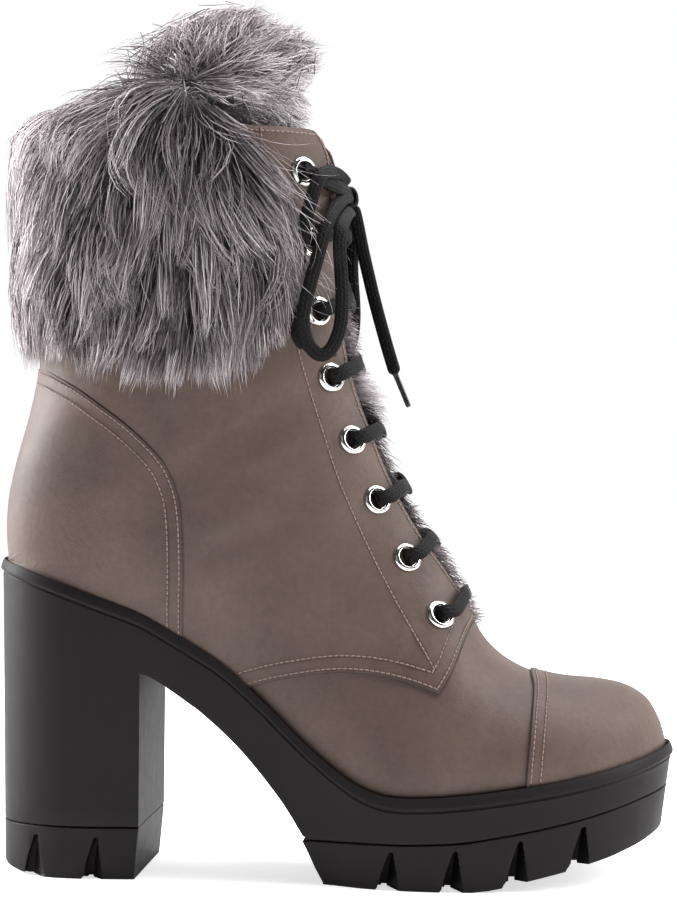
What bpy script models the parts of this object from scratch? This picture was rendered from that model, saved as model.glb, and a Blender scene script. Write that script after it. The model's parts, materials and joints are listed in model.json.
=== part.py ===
"""Fur-cuffed lace-up boot on a platform lug sole, right foot.

Toe along +X, outer side towards -Y, floor at Z = 0.  Tables are in millimetres;
everything is built in metres.  One named object stands for each piece of the boot.
"""
import math

import bmesh
import bpy
import numpy as np
from mathutils import Vector
from mathutils.bvhtree import BVHTree

MM = 0.001

# ---------------------------------------------------------------- driving sizes, mm
ORIGIN = (1.35, 0.0, 0.0)      # moves the tables' frame to the middle of the box
LAP = 1.2                      # thickness of quarters, toe cap and counter
GAP = 0.4                      # air between skins, so pieces never share a face
WALL = 1.7                     # vamp with its lining
FEATHER = 2.8                  # from the sole's outer edge to the leather
LIP = 1.6                      # width of the sole's raised edge
DISH = 3.1                     # depth of the footbed below the raised edge
LIP_DROP = 4.2                 # height of the bevel under the raised edge
BREAST_X = -69.0               # front face of the heel
HEEL_TREAD = 18.5              # thickness of the heel's top piece
PART_LINE = 0.3                # gap between sole unit and treads
HOLE_R = 4.2                   # eyelet holes
EDGE_LIFT = 0.4                # raises the leather's lower edge off the footbed
LACE_R = 1.5                   # lace where it is threaded
BOW_R = 2.3                    # lace where it hangs free
AGLET_R = 1.0
TONGUE = 2.6                   # thickness of the tongue
TONGUE_OUT = -9.6              # the tongue's face below the leather's outer face
UNDER = -5.3                   # lace where it runs under the facing
FUR_BED = -9.3                 # root of the fur on the tongue's face
FUR_NAP = 2.4                  # depth of that fur

# Plan outline of the sole, heel to toe about its centre line.
OUTLINE = (
    # x, outer half-width, inner half-width
    (122.2, 0.0, 0.0),
    (120.6, 10.8, 10.5),
    (116.4, 20.5, 19.5),
    (109.5, 29.5, 27.0),
    (99.5, 37.5, 33.5),
    (86.0, 43.8, 39.0),
    (69.0, 48.0, 43.0),
    (50.0, 49.8, 45.0),
    (30.0, 48.8, 43.3),
    (11.0, 44.2, 39.2),
    (-7.0, 38.0, 34.8),
    (-25.0, 33.3, 32.0),
    (-45.0, 31.4, 31.2),
    (-66.0, 31.8, 31.8),
    (-85.0, 32.3, 32.3),
    (-100.0, 30.8, 30.8),
    (-111.5, 25.8, 25.8),
    (-119.5, 18.3, 18.3),
    (-123.6, 9.6, 9.6),
    (-124.9, 0.0, 0.0),
)

# The centre line swings towards the big toe.
CENTRE = (
    # x, y
    (-130.0, 0.0),
    (30.0, 0.0),
    (60.0, 0.8),
    (90.0, 2.4),
    (125.0, 4.2),
)

# Height of the sole's raised edge, where the leather meets it.
RIM = (
    # x, z
    (-126.0, 114.8),
    (-115.5, 112.0),
    (-98.0, 106.2),
    (-83.0, 100.7),
    (-68.6, 95.4),
    (-54.4, 87.0),
    (-40.0, 78.2),
    (-29.4, 69.0),
    (-18.4, 58.6),
    (-11.0, 51.5),
    (-3.5, 45.2),
    (3.8, 39.7),
    (11.0, 35.4),
    (18.1, 33.0),
    (25.2, 32.4),
    (39.0, 33.0),
    (53.0, 34.4),
    (66.7, 36.2),
    (80.5, 38.2),
    (94.6, 40.8),
    (109.0, 44.1),
    (124.0, 48.6),
)

# Line between the platform and the forefoot tread, and the tread's walking face.
PARTING = ((-12.0, 15.7), (25.0, 16.0), (46.0, 17.0), (60.0, 19.2), (74.0, 21.6),
           (87.0, 24.1), (102.0, 27.5), (109.0, 29.5), (124.0, 33.0))
WALKING = ((-12.0, 0.0), (50.0, 0.0), (56.0, 0.6), (62.0, 1.7), (70.0, 3.7),
           (83.0, 6.4), (91.0, 8.4), (101.0, 10.6), (111.0, 13.4), (124.0, 17.6))

# Underside of the arch, from the heel's breast forward.
ARCH = ((-68.8, 73.6), (-66.6, 73.2), (-61.6, 70.4), (-54.4, 65.4), (-47.2, 60.2),
        (-40.0, 53.9), (-32.7, 46.8), (-25.3, 38.2), (-17.8, 28.6), (-13.0, 21.3),
        (-10.2, 16.1))

# The last: a fan of sections, each in a plane through its front and back points.
SECTIONS = (
    # front x, front z, back x, back z, outer body, inner body, widest at, low, top
    (119.4, 46.0, 119.4, 46.0, 0.0, 0.0, 0.16, 2.0, 2.1),
    (118.7, 50.6, 118.7, 45.9, 0.0, 0.0, 0.16, 2.0, 2.1),
    (116.6, 56.8, 116.6, 45.2, 0.0, 0.0, 0.16, 2.0, 2.2),
    (112.4, 63.4, 112.4, 43.5, 0.0, 0.0, 0.17, 2.0, 2.3),
    (105.0, 67.9, 105.0, 41.4, 0.0, 0.0, 0.18, 2.0, 2.3),
    (95.0, 70.1, 95.0, 39.2, 0.0, 0.0, 0.18, 2.0, 2.3),
    (82.0, 71.3, 82.0, 36.7, 0.0, 0.0, 0.18, 2.0, 2.25),
    (70.5, 74.1, 69.0, 34.9, 0.0, 0.0, 0.17, 2.0, 2.15),
    (61.0, 79.2, 57.5, 33.2, 0.0, 0.0, 0.16, 2.0, 2.05),
    (54.5, 85.6, 47.0, 32.1, 0.0, 0.0, 0.15, 2.0, 1.95),
    (50.5, 92.5, 37.0, 31.2, 0.0, 0.0, 0.14, 2.0, 1.9),
    (47.0, 101.0, 25.0, 30.7, 20.0, 20.0, 0.13, 2.0, 1.85),
    (42.3, 111.8, 12.0, 33.3, 24.0, 24.0, 0.14, 2.0, 1.85),
    (36.6, 122.3, -2.0, 42.3, 27.0, 27.0, 0.17, 2.0, 1.85),
    (30.9, 132.6, -16.0, 54.6, 28.5, 28.5, 0.24, 2.0, 1.9),
    (25.4, 143.6, -31.0, 68.8, 30.0, 30.0, 0.31, 2.0, 1.9),
    (20.6, 153.5, -50.0, 82.6, 31.5, 31.5, 0.38, 2.1, 1.95),
    (16.8, 163.0, -70.0, 94.2, 32.5, 32.5, 0.43, 2.15, 2.0),
    (13.9, 171.0, -88.0, 100.9, 33.0, 33.0, 0.46, 2.3, 2.0),
    (11.9, 177.5, -104.0, 106.6, 33.3, 33.3, 0.49, 2.45, 2.05),
    (10.4, 182.5, -114.5, 110.1, 33.6, 33.6, 0.51, 2.55, 2.1),
    (9.4, 186.5, -120.3, 111.7, 33.8, 33.8, 0.525, 2.6, 2.1),
    (8.6, 190.0, -121.5, 113.2, 34.0, 34.0, 0.535, 2.6, 2.1),
    (7.5, 196.0, -122.5, 123.4, 34.2, 34.2, 0.545, 2.55, 2.1),
    (6.5, 203.0, -121.8, 137.0, 34.6, 34.6, 0.55, 2.45, 2.1),
    (5.6, 211.0, -117.8, 153.0, 35.2, 35.2, 0.555, 2.35, 2.1),
    (4.7, 220.0, -112.9, 168.0, 36.0, 36.0, 0.56, 2.2, 2.1),
    (3.8, 230.0, -110.6, 184.0, 36.8, 36.8, 0.56, 2.2, 2.1),
    (2.9, 240.5, -110.8, 202.0, 37.6, 37.6, 0.56, 2.2, 2.1),
    (2.1, 250.5, -110.8, 224.0, 38.4, 38.4, 0.56, 2.2, 2.1),
    (1.3, 260.0, -111.4, 247.0, 39.2, 39.2, 0.56, 2.2, 2.1),
    (0.6, 268.6, -112.0, 268.6, 40.0, 40.0, 0.56, 2.2, 2.1),
)
THROAT_ROW = 10.0              # the throat opens above this row

# Half-width of the throat, row by row.
THROAT = ((10.0, 0.0), (10.4, 5.5), (11.0, 9.0), (12.0, 11.5), (14.0, 12.5), (20.0, 13.0),
          (29.0, 14.0), (30.0, 15.2), (30.6, 18.0), (31.0, 22.5))

ROWS = (0.0, 0.5, 1.0, 1.6, 2.3, 3.1, 4.1, 5.4, 6.8, 8.0, 9.2, 10.0, 10.4, 11.0,
        11.6, 12.3, 13.0, 13.8, 14.6, 15.6, 16.8, 18.0, 19.2, 20.3, 21.2, 22.0, 23.2, 24.6,
        26.2, 27.8, 29.2, 30.2, 30.7, 31.0)
ACROSS = 8                     # faces from the edge to the ridge, each side

# Seams seen from the side.
CAP_SEAM = ((69.8, 82.0), (70.4, 74.5), (71.4, 70.0), (70.8, 62.0), (70.0, 53.0),
            (69.1, 43.0), (68.0, 28.0))
COUNTER_SEAM = ((-104.0, 182.0), (-99.3, 179.8), (-90.9, 175.4), (-82.9, 170.0),
                (-75.3, 164.6), (-68.0, 158.4), (-60.9, 151.0), (-57.1, 144.7),
                (-54.4, 137.5), (-53.1, 130.0), (-52.6, 121.0), (-52.6, 108.0),
                (-53.1, 94.0), (-53.4, 70.0))
QUARTER_SEAM = ((-29.6, 55.0), (-29.4, 68.7), (-25.6, 70.0), (-18.0, 71.9), (-10.9, 73.2),
                (-3.7, 74.3), (3.4, 74.9), (10.4, 74.7), (17.4, 73.9), (24.4, 72.5),
                (31.4, 70.5), (38.4, 67.9), (40.9, 72.0), (43.6, 77.0), (46.0, 83.4),
                (48.6, 89.5), (52.0, 96.0))

# Eyelets seen from the side, top to bottom.
EYELETS = ((-10.4, 253.0), (-7.8, 227.8), (-5.5, 203.4), (-1.0, 179.7),
           (6.7, 157.2), (15.6, 135.7), (26.4, 115.0), (38.4, 94.9))

# Fur cuff: hem, thickness and top by the share of the way from back to front.
CUFF = (
    # share, hem z, thickness, top z
    (0.00, 189.5, 9.4, 279.5),
    (0.15, 188.5, 11.0, 277.0),
    (0.30, 184.0, 12.8, 279.5),
    (0.45, 178.5, 13.6, 285.0),
    (0.58, 175.0, 13.6, 288.0),
    (0.70, 177.5, 12.6, 286.0),
    (0.80, 184.5, 11.2, 282.0),
    (0.86, 190.0, 9.0, 278.0),
)


# Front edge of the cuff: share of the half girth at a height.
CUFF_FRONT = ((165.0, 0.64), (192.0, 0.72), (214.0, 0.76), (236.0, 0.75), (250.0, 0.70),
              (270.0, 0.62), (290.0, 0.60))

# Plume of fur over the tongue: middle x, z, half depth, half width, slope.
PLUME = ((-19.0, 272.0, 11.0, 17.0, 0.0), (-38.0, 277.0, 25.0, 24.0, 0.0),
         (-42.0, 285.0, 30.0, 28.0, 0.0), (-40.0, 296.0, 34.0, 29.0, -0.03),
         (-38.0, 307.0, 28.0, 24.0, -0.06), (-38.0, 316.0, 13.0, 12.0, -0.1))

# The bow: points seen from the side, with the distance out from the middle plane.
LOOP = ((4.7, 5.2, 246.3), (3.0, 13.5, 244.6), (0.6, 22.5, 240.2), (-1.9, 30.0, 233.2),
        (-4.4, 33.0, 223.5), (-7.2, 34.0, 213.0), (-9.0, 34.5, 205.6), (-9.9, 34.5, 199.6),
        (-9.2, 34.5, 194.2), (-7.2, 34.0, 189.8), (-3.6, 33.5, 187.2), (0.0, 32.5, 189.5),
        (2.7, 31.5, 195.8), (3.6, 30.6, 202.6), (3.6, 29.6, 209.8), (3.1, 28.5, 218.0),
        (2.8, 30.5, 226.0), (3.4, 28.0, 233.0), (4.5, 17.0, 238.6), (5.1, 6.4, 240.8))
FREE_END = ((6.2, 0.6, 239.9), (7.0, 1.8, 236.2), (8.0, 3.4, 230.7), (9.1, 5.0, 225.1),
            (10.5, 6.4, 218.8), (12.1, 7.4, 211.8), (13.9, 8.0, 204.7), (16.0, 8.4, 196.9),
            (17.8, 8.7, 190.5), (19.5, 8.9, 184.8), (20.4, 9.0, 181.8))
AGLET = ((20.6, 9.0, 181.3), (25.4, 9.2, 169.6))
OUTER_END = ((3.4, 5.2, 250.7), (2.0, 11.0, 252.3), (0.4, 17.5, 253.2), (-1.7, 25.0, 253.1),
             (-4.0, 30.0, 251.1), (-5.6, 32.0, 247.0), (-6.9, 33.0, 242.7), (-8.3, 33.0, 238.0),
             (-9.8, 32.4, 231.9), (-11.1, 31.8, 225.1), (-11.9, 31.2, 218.3),
             (-12.3, 30.8, 211.5), (-12.5, 30.6, 204.6), (-12.4, 30.6, 197.8),
             (-11.9, 30.5, 194.2), (-10.6, 30.2, 191.8), (-9.2, 29.7, 190.6))
OUTER_AGLET = ((-8.0, 29.2, 189.8), (1.2, 24.2, 187.6))
TO_KNOT = ((-4.2, 24.8, 250.4), (-0.8, 20.0, 248.6), (1.4, 16.6, 248.2))
KNOT = (4.4, 0.0, 245.9)
KNOT_SIZE = (2.9, 4.6, 4.4)

EYELET_RING = ((3.1, -3.7), (3.6, -3.7), (3.6, 0.45), (5.45, 0.45), (4.3, 1.4), (3.1, 1.1))


# ---------------------------------------------------------------- numbers
def along(table, x):
    """Straight interpolation in a two-column table."""
    data = sorted(table)
    return float(np.interp(x, [r[0] for r in data], [r[1] for r in data]))


def soft(table, x, spread=5.0):
    """Interpolation averaged over a short span, so corners come out round."""
    steps = (-1.0, -0.6, -0.3, 0.0, 0.3, 0.6, 1.0)
    return sum(along(table, x + s * spread) for s in steps) / len(steps)


def between(rows, t):
    """Catmull-Rom along the rows of a table, at the row number t."""
    last = len(rows) - 1
    i = min(int(max(t, 0.0)), last - 1)
    f = t - i
    a = rows[i - 1] if i > 0 else mirrored(rows, True)
    b = rows[i]
    c = rows[i + 1]
    d = rows[i + 2] if i + 2 <= last else mirrored(rows, False)
    out = []
    for p, q, r, s in zip(a, b, c, d):
        m0 = 0.5 * (r - p)
        m1 = 0.5 * (s - q)
        f2 = f * f
        f3 = f2 * f
        out.append((2 * f3 - 3 * f2 + 1) * q + (f3 - 2 * f2 + f) * m0
                   + (3 * f2 - 2 * f3) * r + (f3 - f2) * m1)
    return out


def mirrored(rows, start):
    """The row beyond an end: reflected at a rounded tip, otherwise carried straight on."""
    end = rows[0] if start else rows[-1]
    near = rows[1] if start else rows[-2]
    if len(end) == 3 and end[1] == 0.0:
        return (near[0], -near[1], -near[2])
    if len(end) == 9 and end[4] == 0.0:
        return (near[2], near[3], near[0], near[1]) + near[4:]
    return tuple(2 * e - n for e, n in zip(end, near))


def centre_y(x):
    """Sideways swing of the boot's middle line."""
    return soft(CENTRE, x, 12.0)


def outline_point(t, side, inset=0.0):
    """A point of the plan outline at row t, moved inwards by inset."""
    col = 1 if side < 0 else 2

    def raw(s):
        if s < 0:
            r = between(OUTLINE, -s)
            return r[0], -side * r[col]
        if s > len(OUTLINE) - 1:
            r = between(OUTLINE, 2 * (len(OUTLINE) - 1) - s)
            return r[0], -side * r[col]
        r = between(OUTLINE, s)
        return r[0], side * r[col]

    x, y = raw(t)
    xa, ya = raw(t - 0.02)
    xb, yb = raw(t + 0.02)
    dx, dy = xb - xa, yb - ya
    n = math.hypot(dx, dy)
    nx, ny = dy / n, -dx / n
    if side < 0:
        nx, ny = -nx, -ny
    return x - nx * inset, centre_y(x) + y - ny * inset


def foot_width(x, side):
    """Half-width of the leather where it meets the sole."""
    xs, ys = FOOT[side]
    return float(np.interp(-x, xs, ys))


def foot_table(side):
    xs, ys = [], []
    for k in range(0, 10 * (len(OUTLINE) - 1) + 1):
        x, y = outline_point(k / 10.0, side, FEATHER)
        xs.append(-x)
        ys.append(abs(y - centre_y(x)))
    return np.array(xs), np.array(ys)


FOOT = {side: foot_table(side) for side in (-1, 1)}


# ---------------------------------------------------------------- the boot's form
def section(row, side):
    """Dense points of one half section, from the sole or back seam to the front."""
    ax, az, bx, bz, outer, inner, peak, low, top = between(SECTIONS, row)
    body = outer if side < 0 else inner
    foot = foot_width(bx, side) if row < 21.9 else 0.0
    wide = ((foot * 1.02) ** 8 + max(body, 0.0) ** 8) ** 0.125
    share = min(foot / wide, 0.985) if wide > 1e-4 else 0.98
    start = peak * (1.0 - (1.0 - share ** low) ** (-1.0 / low)) if share > 1e-6 else 0.0
    a0 = math.asin(min(1.0, (peak / (peak - start)) ** (low / 2.0)))
    a = np.linspace(a0, 0.0, 60)
    s_low = peak - (peak - start) * np.sin(a) ** (2.0 / low)
    y_low = wide * np.cos(a) ** (2.0 / low)
    b = np.linspace(0.0, math.pi / 2, 120)[1:]
    s_top = peak + (1.0 - peak) * np.sin(b) ** (2.0 / top)
    y_top = wide * np.abs(np.cos(b)) ** (2.0 / top)
    y_top[-1] = 0.0
    s = np.concatenate([s_low, s_top])
    s[0] = 0.0
    y = np.concatenate([y_low, y_top])
    bz += EDGE_LIFT if row < 22.0 else 0.0
    x = bx + s * (ax - bx)
    z = bz + s * (az - bz)
    points = np.stack([x, y, z], axis=1)
    steps = np.linalg.norm(np.diff(points, axis=0), axis=1)
    run = np.concatenate([[0.0], np.cumsum(steps)])
    return points, run


def on_section(row, side, share):
    """The surface point at a share of the way from the edge to the ridge."""
    points, run = section(row, side)
    at = share * run[-1]
    p = [float(np.interp(at, run, points[:, k])) for k in range(3)]
    return Vector((p[0], centre_y(p[0]) + side * p[1], p[2]))


def share_at_width(row, side, half):
    """How far up a section lies the point that is half away from the middle plane."""
    points, run = section(row, side)
    top = int(np.argmax(points[:, 1]))
    ys = points[top:, 1][::-1]
    rs = run[top:][::-1]
    return float(np.interp(half, ys, rs)) / max(run[-1], 1e-9)


def edge_share(row, side):
    """Where the leather ends at the front: the ridge, or the edge of the throat."""
    if row <= THROAT_ROW:
        return 1.0
    return share_at_width(row, side, along(THROAT, row))


# ---------------------------------------------------------------- objects
def remove_everything():
    for ob in list(bpy.data.objects):
        bpy.data.objects.remove(ob, do_unlink=True)


def collection(name):
    c = bpy.data.collections.new(name)
    bpy.context.scene.collection.children.link(c)
    return c


def material(name, colour, roughness, metallic=0.0):
    m = bpy.data.materials.new(name)
    m.use_nodes = True
    b = m.node_tree.nodes["Principled BSDF"]
    b.inputs["Base Color"].default_value = (*colour, 1.0)
    b.inputs["Roughness"].default_value = roughness
    b.inputs["Metallic"].default_value = metallic
    m.diffuse_color = (*colour, 1.0)
    return m


def add(name, verts, faces, mat, where):
    """A mesh object from points in millimetres."""
    shift = Vector(ORIGIN)
    me = bpy.data.meshes.new(name)
    me.from_pydata([tuple((Vector(v) + shift) * MM) for v in verts], [], faces)
    me.validate()
    bm = bmesh.new()
    bm.from_mesh(me)
    bmesh.ops.recalc_face_normals(bm, faces=bm.faces)
    bm.to_mesh(me)
    bm.free()
    ob = bpy.data.objects.new(name, me)
    where.objects.link(ob)
    if mat:
        me.materials.append(mat)
    return ob


def cut(target, cutter, operation="DIFFERENCE"):
    m = target.modifiers.new(operation.lower() + "_" + cutter.name, "BOOLEAN")
    m.operation = operation
    m.solver = "EXACT"
    m.object = cutter


def as_cutter(ob):
    ob.hide_render = True
    ob.display_type = "WIRE"
    return ob


def prism(name, profile, y0, y1, where, end=None):
    """A prism along Y from a closed outline in X and Z, which may end in another outline."""
    n = len(profile)
    verts = [(x, y0, z) for x, z in profile] + [(x, y1, z) for x, z in end or profile]
    faces = [tuple(range(n)), tuple(range(2 * n - 1, n - 1, -1))]
    faces += [(i, (i + 1) % n, n + (i + 1) % n, n + i) for i in range(n)]
    return as_cutter(add(name, verts, faces, None, where))


def thick(surface, lo, hi):
    """Close an open surface into a solid between two distances along its normals."""
    verts, faces, normals = surface
    n = len(verts)
    out = [v + k * hi for v, k in zip(verts, normals)]
    out += [v + k * lo for v, k in zip(verts, normals)]
    solid = [tuple(f) for f in faces]
    solid += [tuple(i + n for i in reversed(f)) for f in faces]
    seen = {}
    for f in faces:
        for a, b in zip(f, f[1:] + f[:1]):
            seen[(a, b)] = seen.get((a, b), 0) + 1
    for a, b in seen:
        if (b, a) not in seen:
            solid.append((b, a, a + n, b + n))
    return out, solid


def triangles(verts, ring):
    """Split a ring of three or four corners along its shorter diagonal."""
    if len(ring) < 4:
        return [tuple(ring)] if len(ring) == 3 else []
    a, b, c, d = ring
    if (verts[a] - verts[c]).length <= (verts[b] - verts[d]).length:
        return [(a, b, c), (a, c, d)]
    return [(a, b, d), (b, c, d)]


def normals_of(verts, faces):
    me = bpy.data.meshes.new("scratch")
    me.from_pydata([tuple(v) for v in verts], [], faces)
    me.update()
    found = [v.normal.copy() for v in me.vertices]
    bpy.data.meshes.remove(me)
    return found


# ---------------------------------------------------------------- leather skin
def leather_skin():
    """The leather's outer face: half sections joined at the ridge and the back seam."""
    verts, index = [], {}

    def vert(key, point):
        if key not in index:
            index[key] = len(verts)
            verts.append(point)
        return index[key]

    def corner(i, j, side):
        row = ROWS[i]
        if i == 0:
            return vert("tip", on_section(0.0, side, 0.0))
        key = (i, j, side)
        if j == ACROSS and row <= THROAT_ROW:
            key = (i, j, 0)
        if j == 0 and row >= 22.0:
            key = (i, j, 0)
        share = j / ACROSS * edge_share(row, side)
        return vert(key, on_section(row, side, share))

    faces = []
    for side in (-1, 1):
        for i in range(len(ROWS) - 1):
            for j in range(ACROSS):
                ring = [corner(i, j, side), corner(i + 1, j, side),
                        corner(i + 1, j + 1, side), corner(i, j + 1, side)]
                ring = [v for k, v in enumerate(ring) if v != ring[k - 1]]
                if side > 0:
                    ring.reverse()
                faces += triangles(verts, ring)
    normals = normals_of(verts, faces)
    probe = max(range(len(verts)), key=lambda k: -verts[k].y)
    if normals[probe].y > 0:
        faces = [tuple(reversed(f)) for f in faces]
        normals = [-k for k in normals]
    return verts, faces, normals


# ---------------------------------------------------------------- sole
def stations():
    """Row numbers along the outline, with a close pair at the heel's breast."""
    found = [k * 0.5 for k in range(2 * (len(OUTLINE) - 1) + 1)]
    return found


def row_at_x(x):
    """Row number of the outline whose point lies at x."""
    lo, hi = 0.0, float(len(OUTLINE) - 1)
    for _ in range(40):
        mid = 0.5 * (lo + hi)
        if between(OUTLINE, mid)[0] > x:
            lo = mid
        else:
            hi = mid
    return lo


def ladder(rows, rings, open_end=False):
    """A solid from plan rings: ring(t, side) gives a point; caps join the two sides."""
    verts, loops = [], []
    first = rows[0] <= 0.0
    last = (not open_end) and rows[-1] >= len(OUTLINE) - 1
    keys = [(t, -1) for t in rows] + [(t, 1) for t in reversed(rows)]
    if first:
        keys = keys[:-1]
    if last:
        keys = [k for i, k in enumerate(keys) if i != len(rows)]
    for ring in rings:
        loops.append([len(verts) + k for k in range(len(keys))])
        verts += [ring(t, side) for t, side in keys]
    faces = []
    n = len(keys)
    for a, b in zip(loops, loops[1:]):
        for k in range(n):
            faces.append((a[k], a[(k + 1) % n], b[(k + 1) % n], b[k]))
    for loop, flip in ((loops[0], False), (loops[-1], True)):
        where = {key: loop[k] for k, key in enumerate(keys)}
        for t0, t1 in zip(rows, rows[1:]):
            quad = [where.get((t0, -1)), where.get((t1, -1)),
                    where.get((t1, 1), where.get((t1, -1))),
                    where.get((t0, 1), where.get((t0, -1)))]
            ring = [v for k, v in enumerate(quad) if v != quad[k - 1]]
            if len(ring) > 2:
                faces.append(tuple(reversed(ring)) if flip else tuple(ring))
    return verts, faces


def wall_inset(x, z):
    """The side of the sole leans in towards the floor, most of all at the toe."""
    top = along(RIM, x) - LIP_DROP
    lean = 1.4 + 4.6 * min(max((x - 70.0) / 50.0, 0.0), 1.0) ** 1.5
    if x < -60.0:
        lean = 0.8
    return 0.8 + lean * max(top - z, 0.0) / max(top, 1.0)


def rim(x):
    return soft(RIM, x, 4.0)


def sole_bottom(x, behind):
    """Underside of the sole unit; behind says which side of the breast counts."""
    if x < BREAST_X - 0.01 or behind:
        return HEEL_TREAD + PART_LINE
    if x < -10.2:
        return along(ARCH, x)
    return soft(PARTING, x, 4.0) + PART_LINE


def build_sole_unit(mat, where):
    t_breast = row_at_x(BREAST_X)
    rows = [t for t in stations() if abs(t - t_breast) > 0.15]
    extra = [t_breast - 0.02, t_breast + 0.02]
    extra += [row_at_x(x) for x in (-10.2, -14.5, -21.0, -29.0, -36.5, -51.0, -58.0, -64.0)]
    rows = [t for t in rows if all(abs(t - e) > 0.12 for e in extra)]
    rows = sorted(rows + extra)

    def ring(inset, drop):
        def point(t, side):
            x, y = outline_point(t, side, inset)
            return (x, y, rim(x) - drop)
        return point

    def foot(extra_inset, lift):
        def point(t, side):
            x0 = between(OUTLINE, t)[0]
            z = sole_bottom(x0, t > t_breast)
            x, y = outline_point(t, side, wall_inset(x0, z) + extra_inset)
            return (x, y, z + lift)
        return point

    rings = [ring(LIP + 0.15, DISH), ring(LIP, 0.0), ring(0.5, 2.6),
             ring(0.0, LIP_DROP - 0.6), ring(0.25, LIP_DROP), ring(0.8, LIP_DROP + 0.5),
             foot(0.0, 1.2), foot(0.8, 0.0)]
    verts, faces = ladder(rows, rings)
    return add("sole_unit", verts, faces, mat, where)


def notch(name, x, z_top, low, y, depth, where):
    """A wedge-shaped notch in the sole's side; it closes toward its rear flank inwards."""
    def outline(share):
        flank = (0.9, z_top), (3.2, low + 2.4), (4.8, low), (7.0, low - 3.0)
        rear = [(x - d - 1.4 * (z < z_top), z) for d, z in flank]
        front = [(x + d, z) for d, z in flank]
        front = [(r[0] + (f[0] - r[0]) * share, f[1]) for r, f in zip(rear, front)]
        return rear[::-1] + front

    outer = math.copysign(9.0, -depth)
    swell = 1.0 + 0.65 * 9.0 / abs(depth)
    return prism(name, outline(swell), y + outer, y + depth, where, outline(0.35))


def build_forefoot_tread(mat, where, cutters):
    t_end = row_at_x(-10.5)
    rows = [t for t in stations() if t < t_end - 0.2]
    rows = sorted(rows + [t_end])

    def ring(lift, share, extra):
        def point(t, side):
            x0 = between(OUTLINE, t)[0]
            high = soft(PARTING, x0, 4.0)
            floor = along(WALKING, x0)
            z = high + (floor - high) * share + lift
            x, y = outline_point(t, side, wall_inset(x0, z) + extra)
            if share > 0.5:
                x += 7.0 * max(0.0, 1.0 - (x0 + 10.5) / 22.0)
            return (x, y, z)
        return point

    rings = [ring(0.0, 0.0, 0.5), ring(-0.6, 0.0, 0.0), ring(0.8, 1.0, 0.0),
             ring(0.0, 1.0, 0.8)]
    verts, faces = ladder(rows, rings, True)
    ob = add("forefoot_tread", verts, faces, mat, where)
    for k, x in enumerate((22.0, 44.5, 67.0, 89.0)):
        top = along(PARTING, x) - 2.4
        low = along(WALKING, x)
        y_out, y_in = outline_point(row_at_x(x), -1)[1], outline_point(row_at_x(x), 1)[1]
        cut(ob, notch("notch_outer_%d" % k, x, top, low, y_out, 10.0, cutters))
        cut(ob, notch("notch_inner_%d" % k, x, top, low, y_in, -10.0, cutters))
        rear = x - 3.4
        channel = [(rear - 1.2, low - 4), (rear + 1.2, low - 4),
                   (rear + 1.0, low + 1.6), (rear - 1.0, low + 1.6)]
        cut(ob, prism("channel_%d" % k, channel, y_out + 8, y_in - 8, cutters))
    return ob


def build_heel_tread(mat, where, cutters):
    t0 = row_at_x(BREAST_X - 0.3)
    rows = sorted([t0] + [t for t in stations() if t > t0 + 0.2])

    def ring(z, extra):
        def point(t, side):
            x, y = outline_point(t, side, wall_inset(-90.0, z) + extra)
            if t <= t0 + 1e-9:
                x = BREAST_X - 0.3 - 1.8 * (1.0 - z / HEEL_TREAD)
            worn = 2.8 * (max(0.0, -101.0 - x) / 21.0) ** 2
            return (x, y, z + worn * max(0.0, 1.0 - z / 12.0))
        return point

    rings = [ring(HEEL_TREAD, 0.5), ring(HEEL_TREAD - 0.6, 0.0), ring(0.8, 0.0),
             ring(0.0, 0.8)]
    keys = rows
    verts, faces = ladder_back(keys, rings)
    ob = add("heel_tread", verts, faces, mat, where)
    for k, x in enumerate((-84.4, -107.0)):
        y_out = outline_point(row_at_x(x), -1)[1]
        y_in = outline_point(row_at_x(x), 1)[1]
        cut(ob, notch("heel_notch_outer_%d" % k, x, 15.2, 0.0, y_out, 8.0, cutters))
        cut(ob, notch("heel_notch_inner_%d" % k, x, 15.2, 0.0, y_in, -8.0, cutters))
        rear = x - 3.2
        channel = [(rear - 1.2, -4), (rear + 1.2, -4), (rear + 1.0, 1.6), (rear - 1.0, 1.6)]
        cut(ob, prism("heel_channel_%d" % k, channel, y_out + 6, y_in - 6, cutters))
    return ob


def ladder_back(rows, rings):
    """A ladder with a straight front edge and a rounded tip at the back."""
    verts, loops = [], []
    keys = [(t, -1) for t in rows] + [(t, 1) for t in reversed(rows)][1:]
    for ring in rings:
        loops.append([len(verts) + k for k in range(len(keys))])
        verts += [ring(t, side) for t, side in keys]
    faces = []
    n = len(keys)
    for a, b in zip(loops, loops[1:]):
        for k in range(n):
            faces.append((a[k], a[(k + 1) % n], b[(k + 1) % n], b[k]))
    for loop, flip in ((loops[0], False), (loops[-1], True)):
        where = {key: loop[k] for k, key in enumerate(keys)}
        for t0, t1 in zip(rows, rows[1:]):
            quad = [where[(t0, -1)], where[(t1, -1)],
                    where.get((t1, 1), where[(t1, -1)]), where[(t0, 1)]]
            ring = [v for k, v in enumerate(quad) if v != quad[k - 1]]
            faces.append(tuple(reversed(ring)) if flip else tuple(ring))
    return verts, faces


def build_insole(mat, where):
    def ring(inset, lift):
        def point(t, side):
            x, y = outline_point(t, side, inset)
            return (x, y, rim(x) - DISH + lift)
        return point

    base = FEATHER + LAP + GAP + WALL + 1.6
    rings = [ring(base + 0.8, 3.7), ring(base, 3.0), ring(base, 1.3), ring(base + 0.6, 0.8)]
    rows = [t for k, t in enumerate(stations()[2:-2])
            if k % 2 == 0 or -75.0 < between(OUTLINE, t)[0] < 40.0]
    verts, faces = ladder(rows, rings)
    return add("insole", verts, faces, mat, where)


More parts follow.
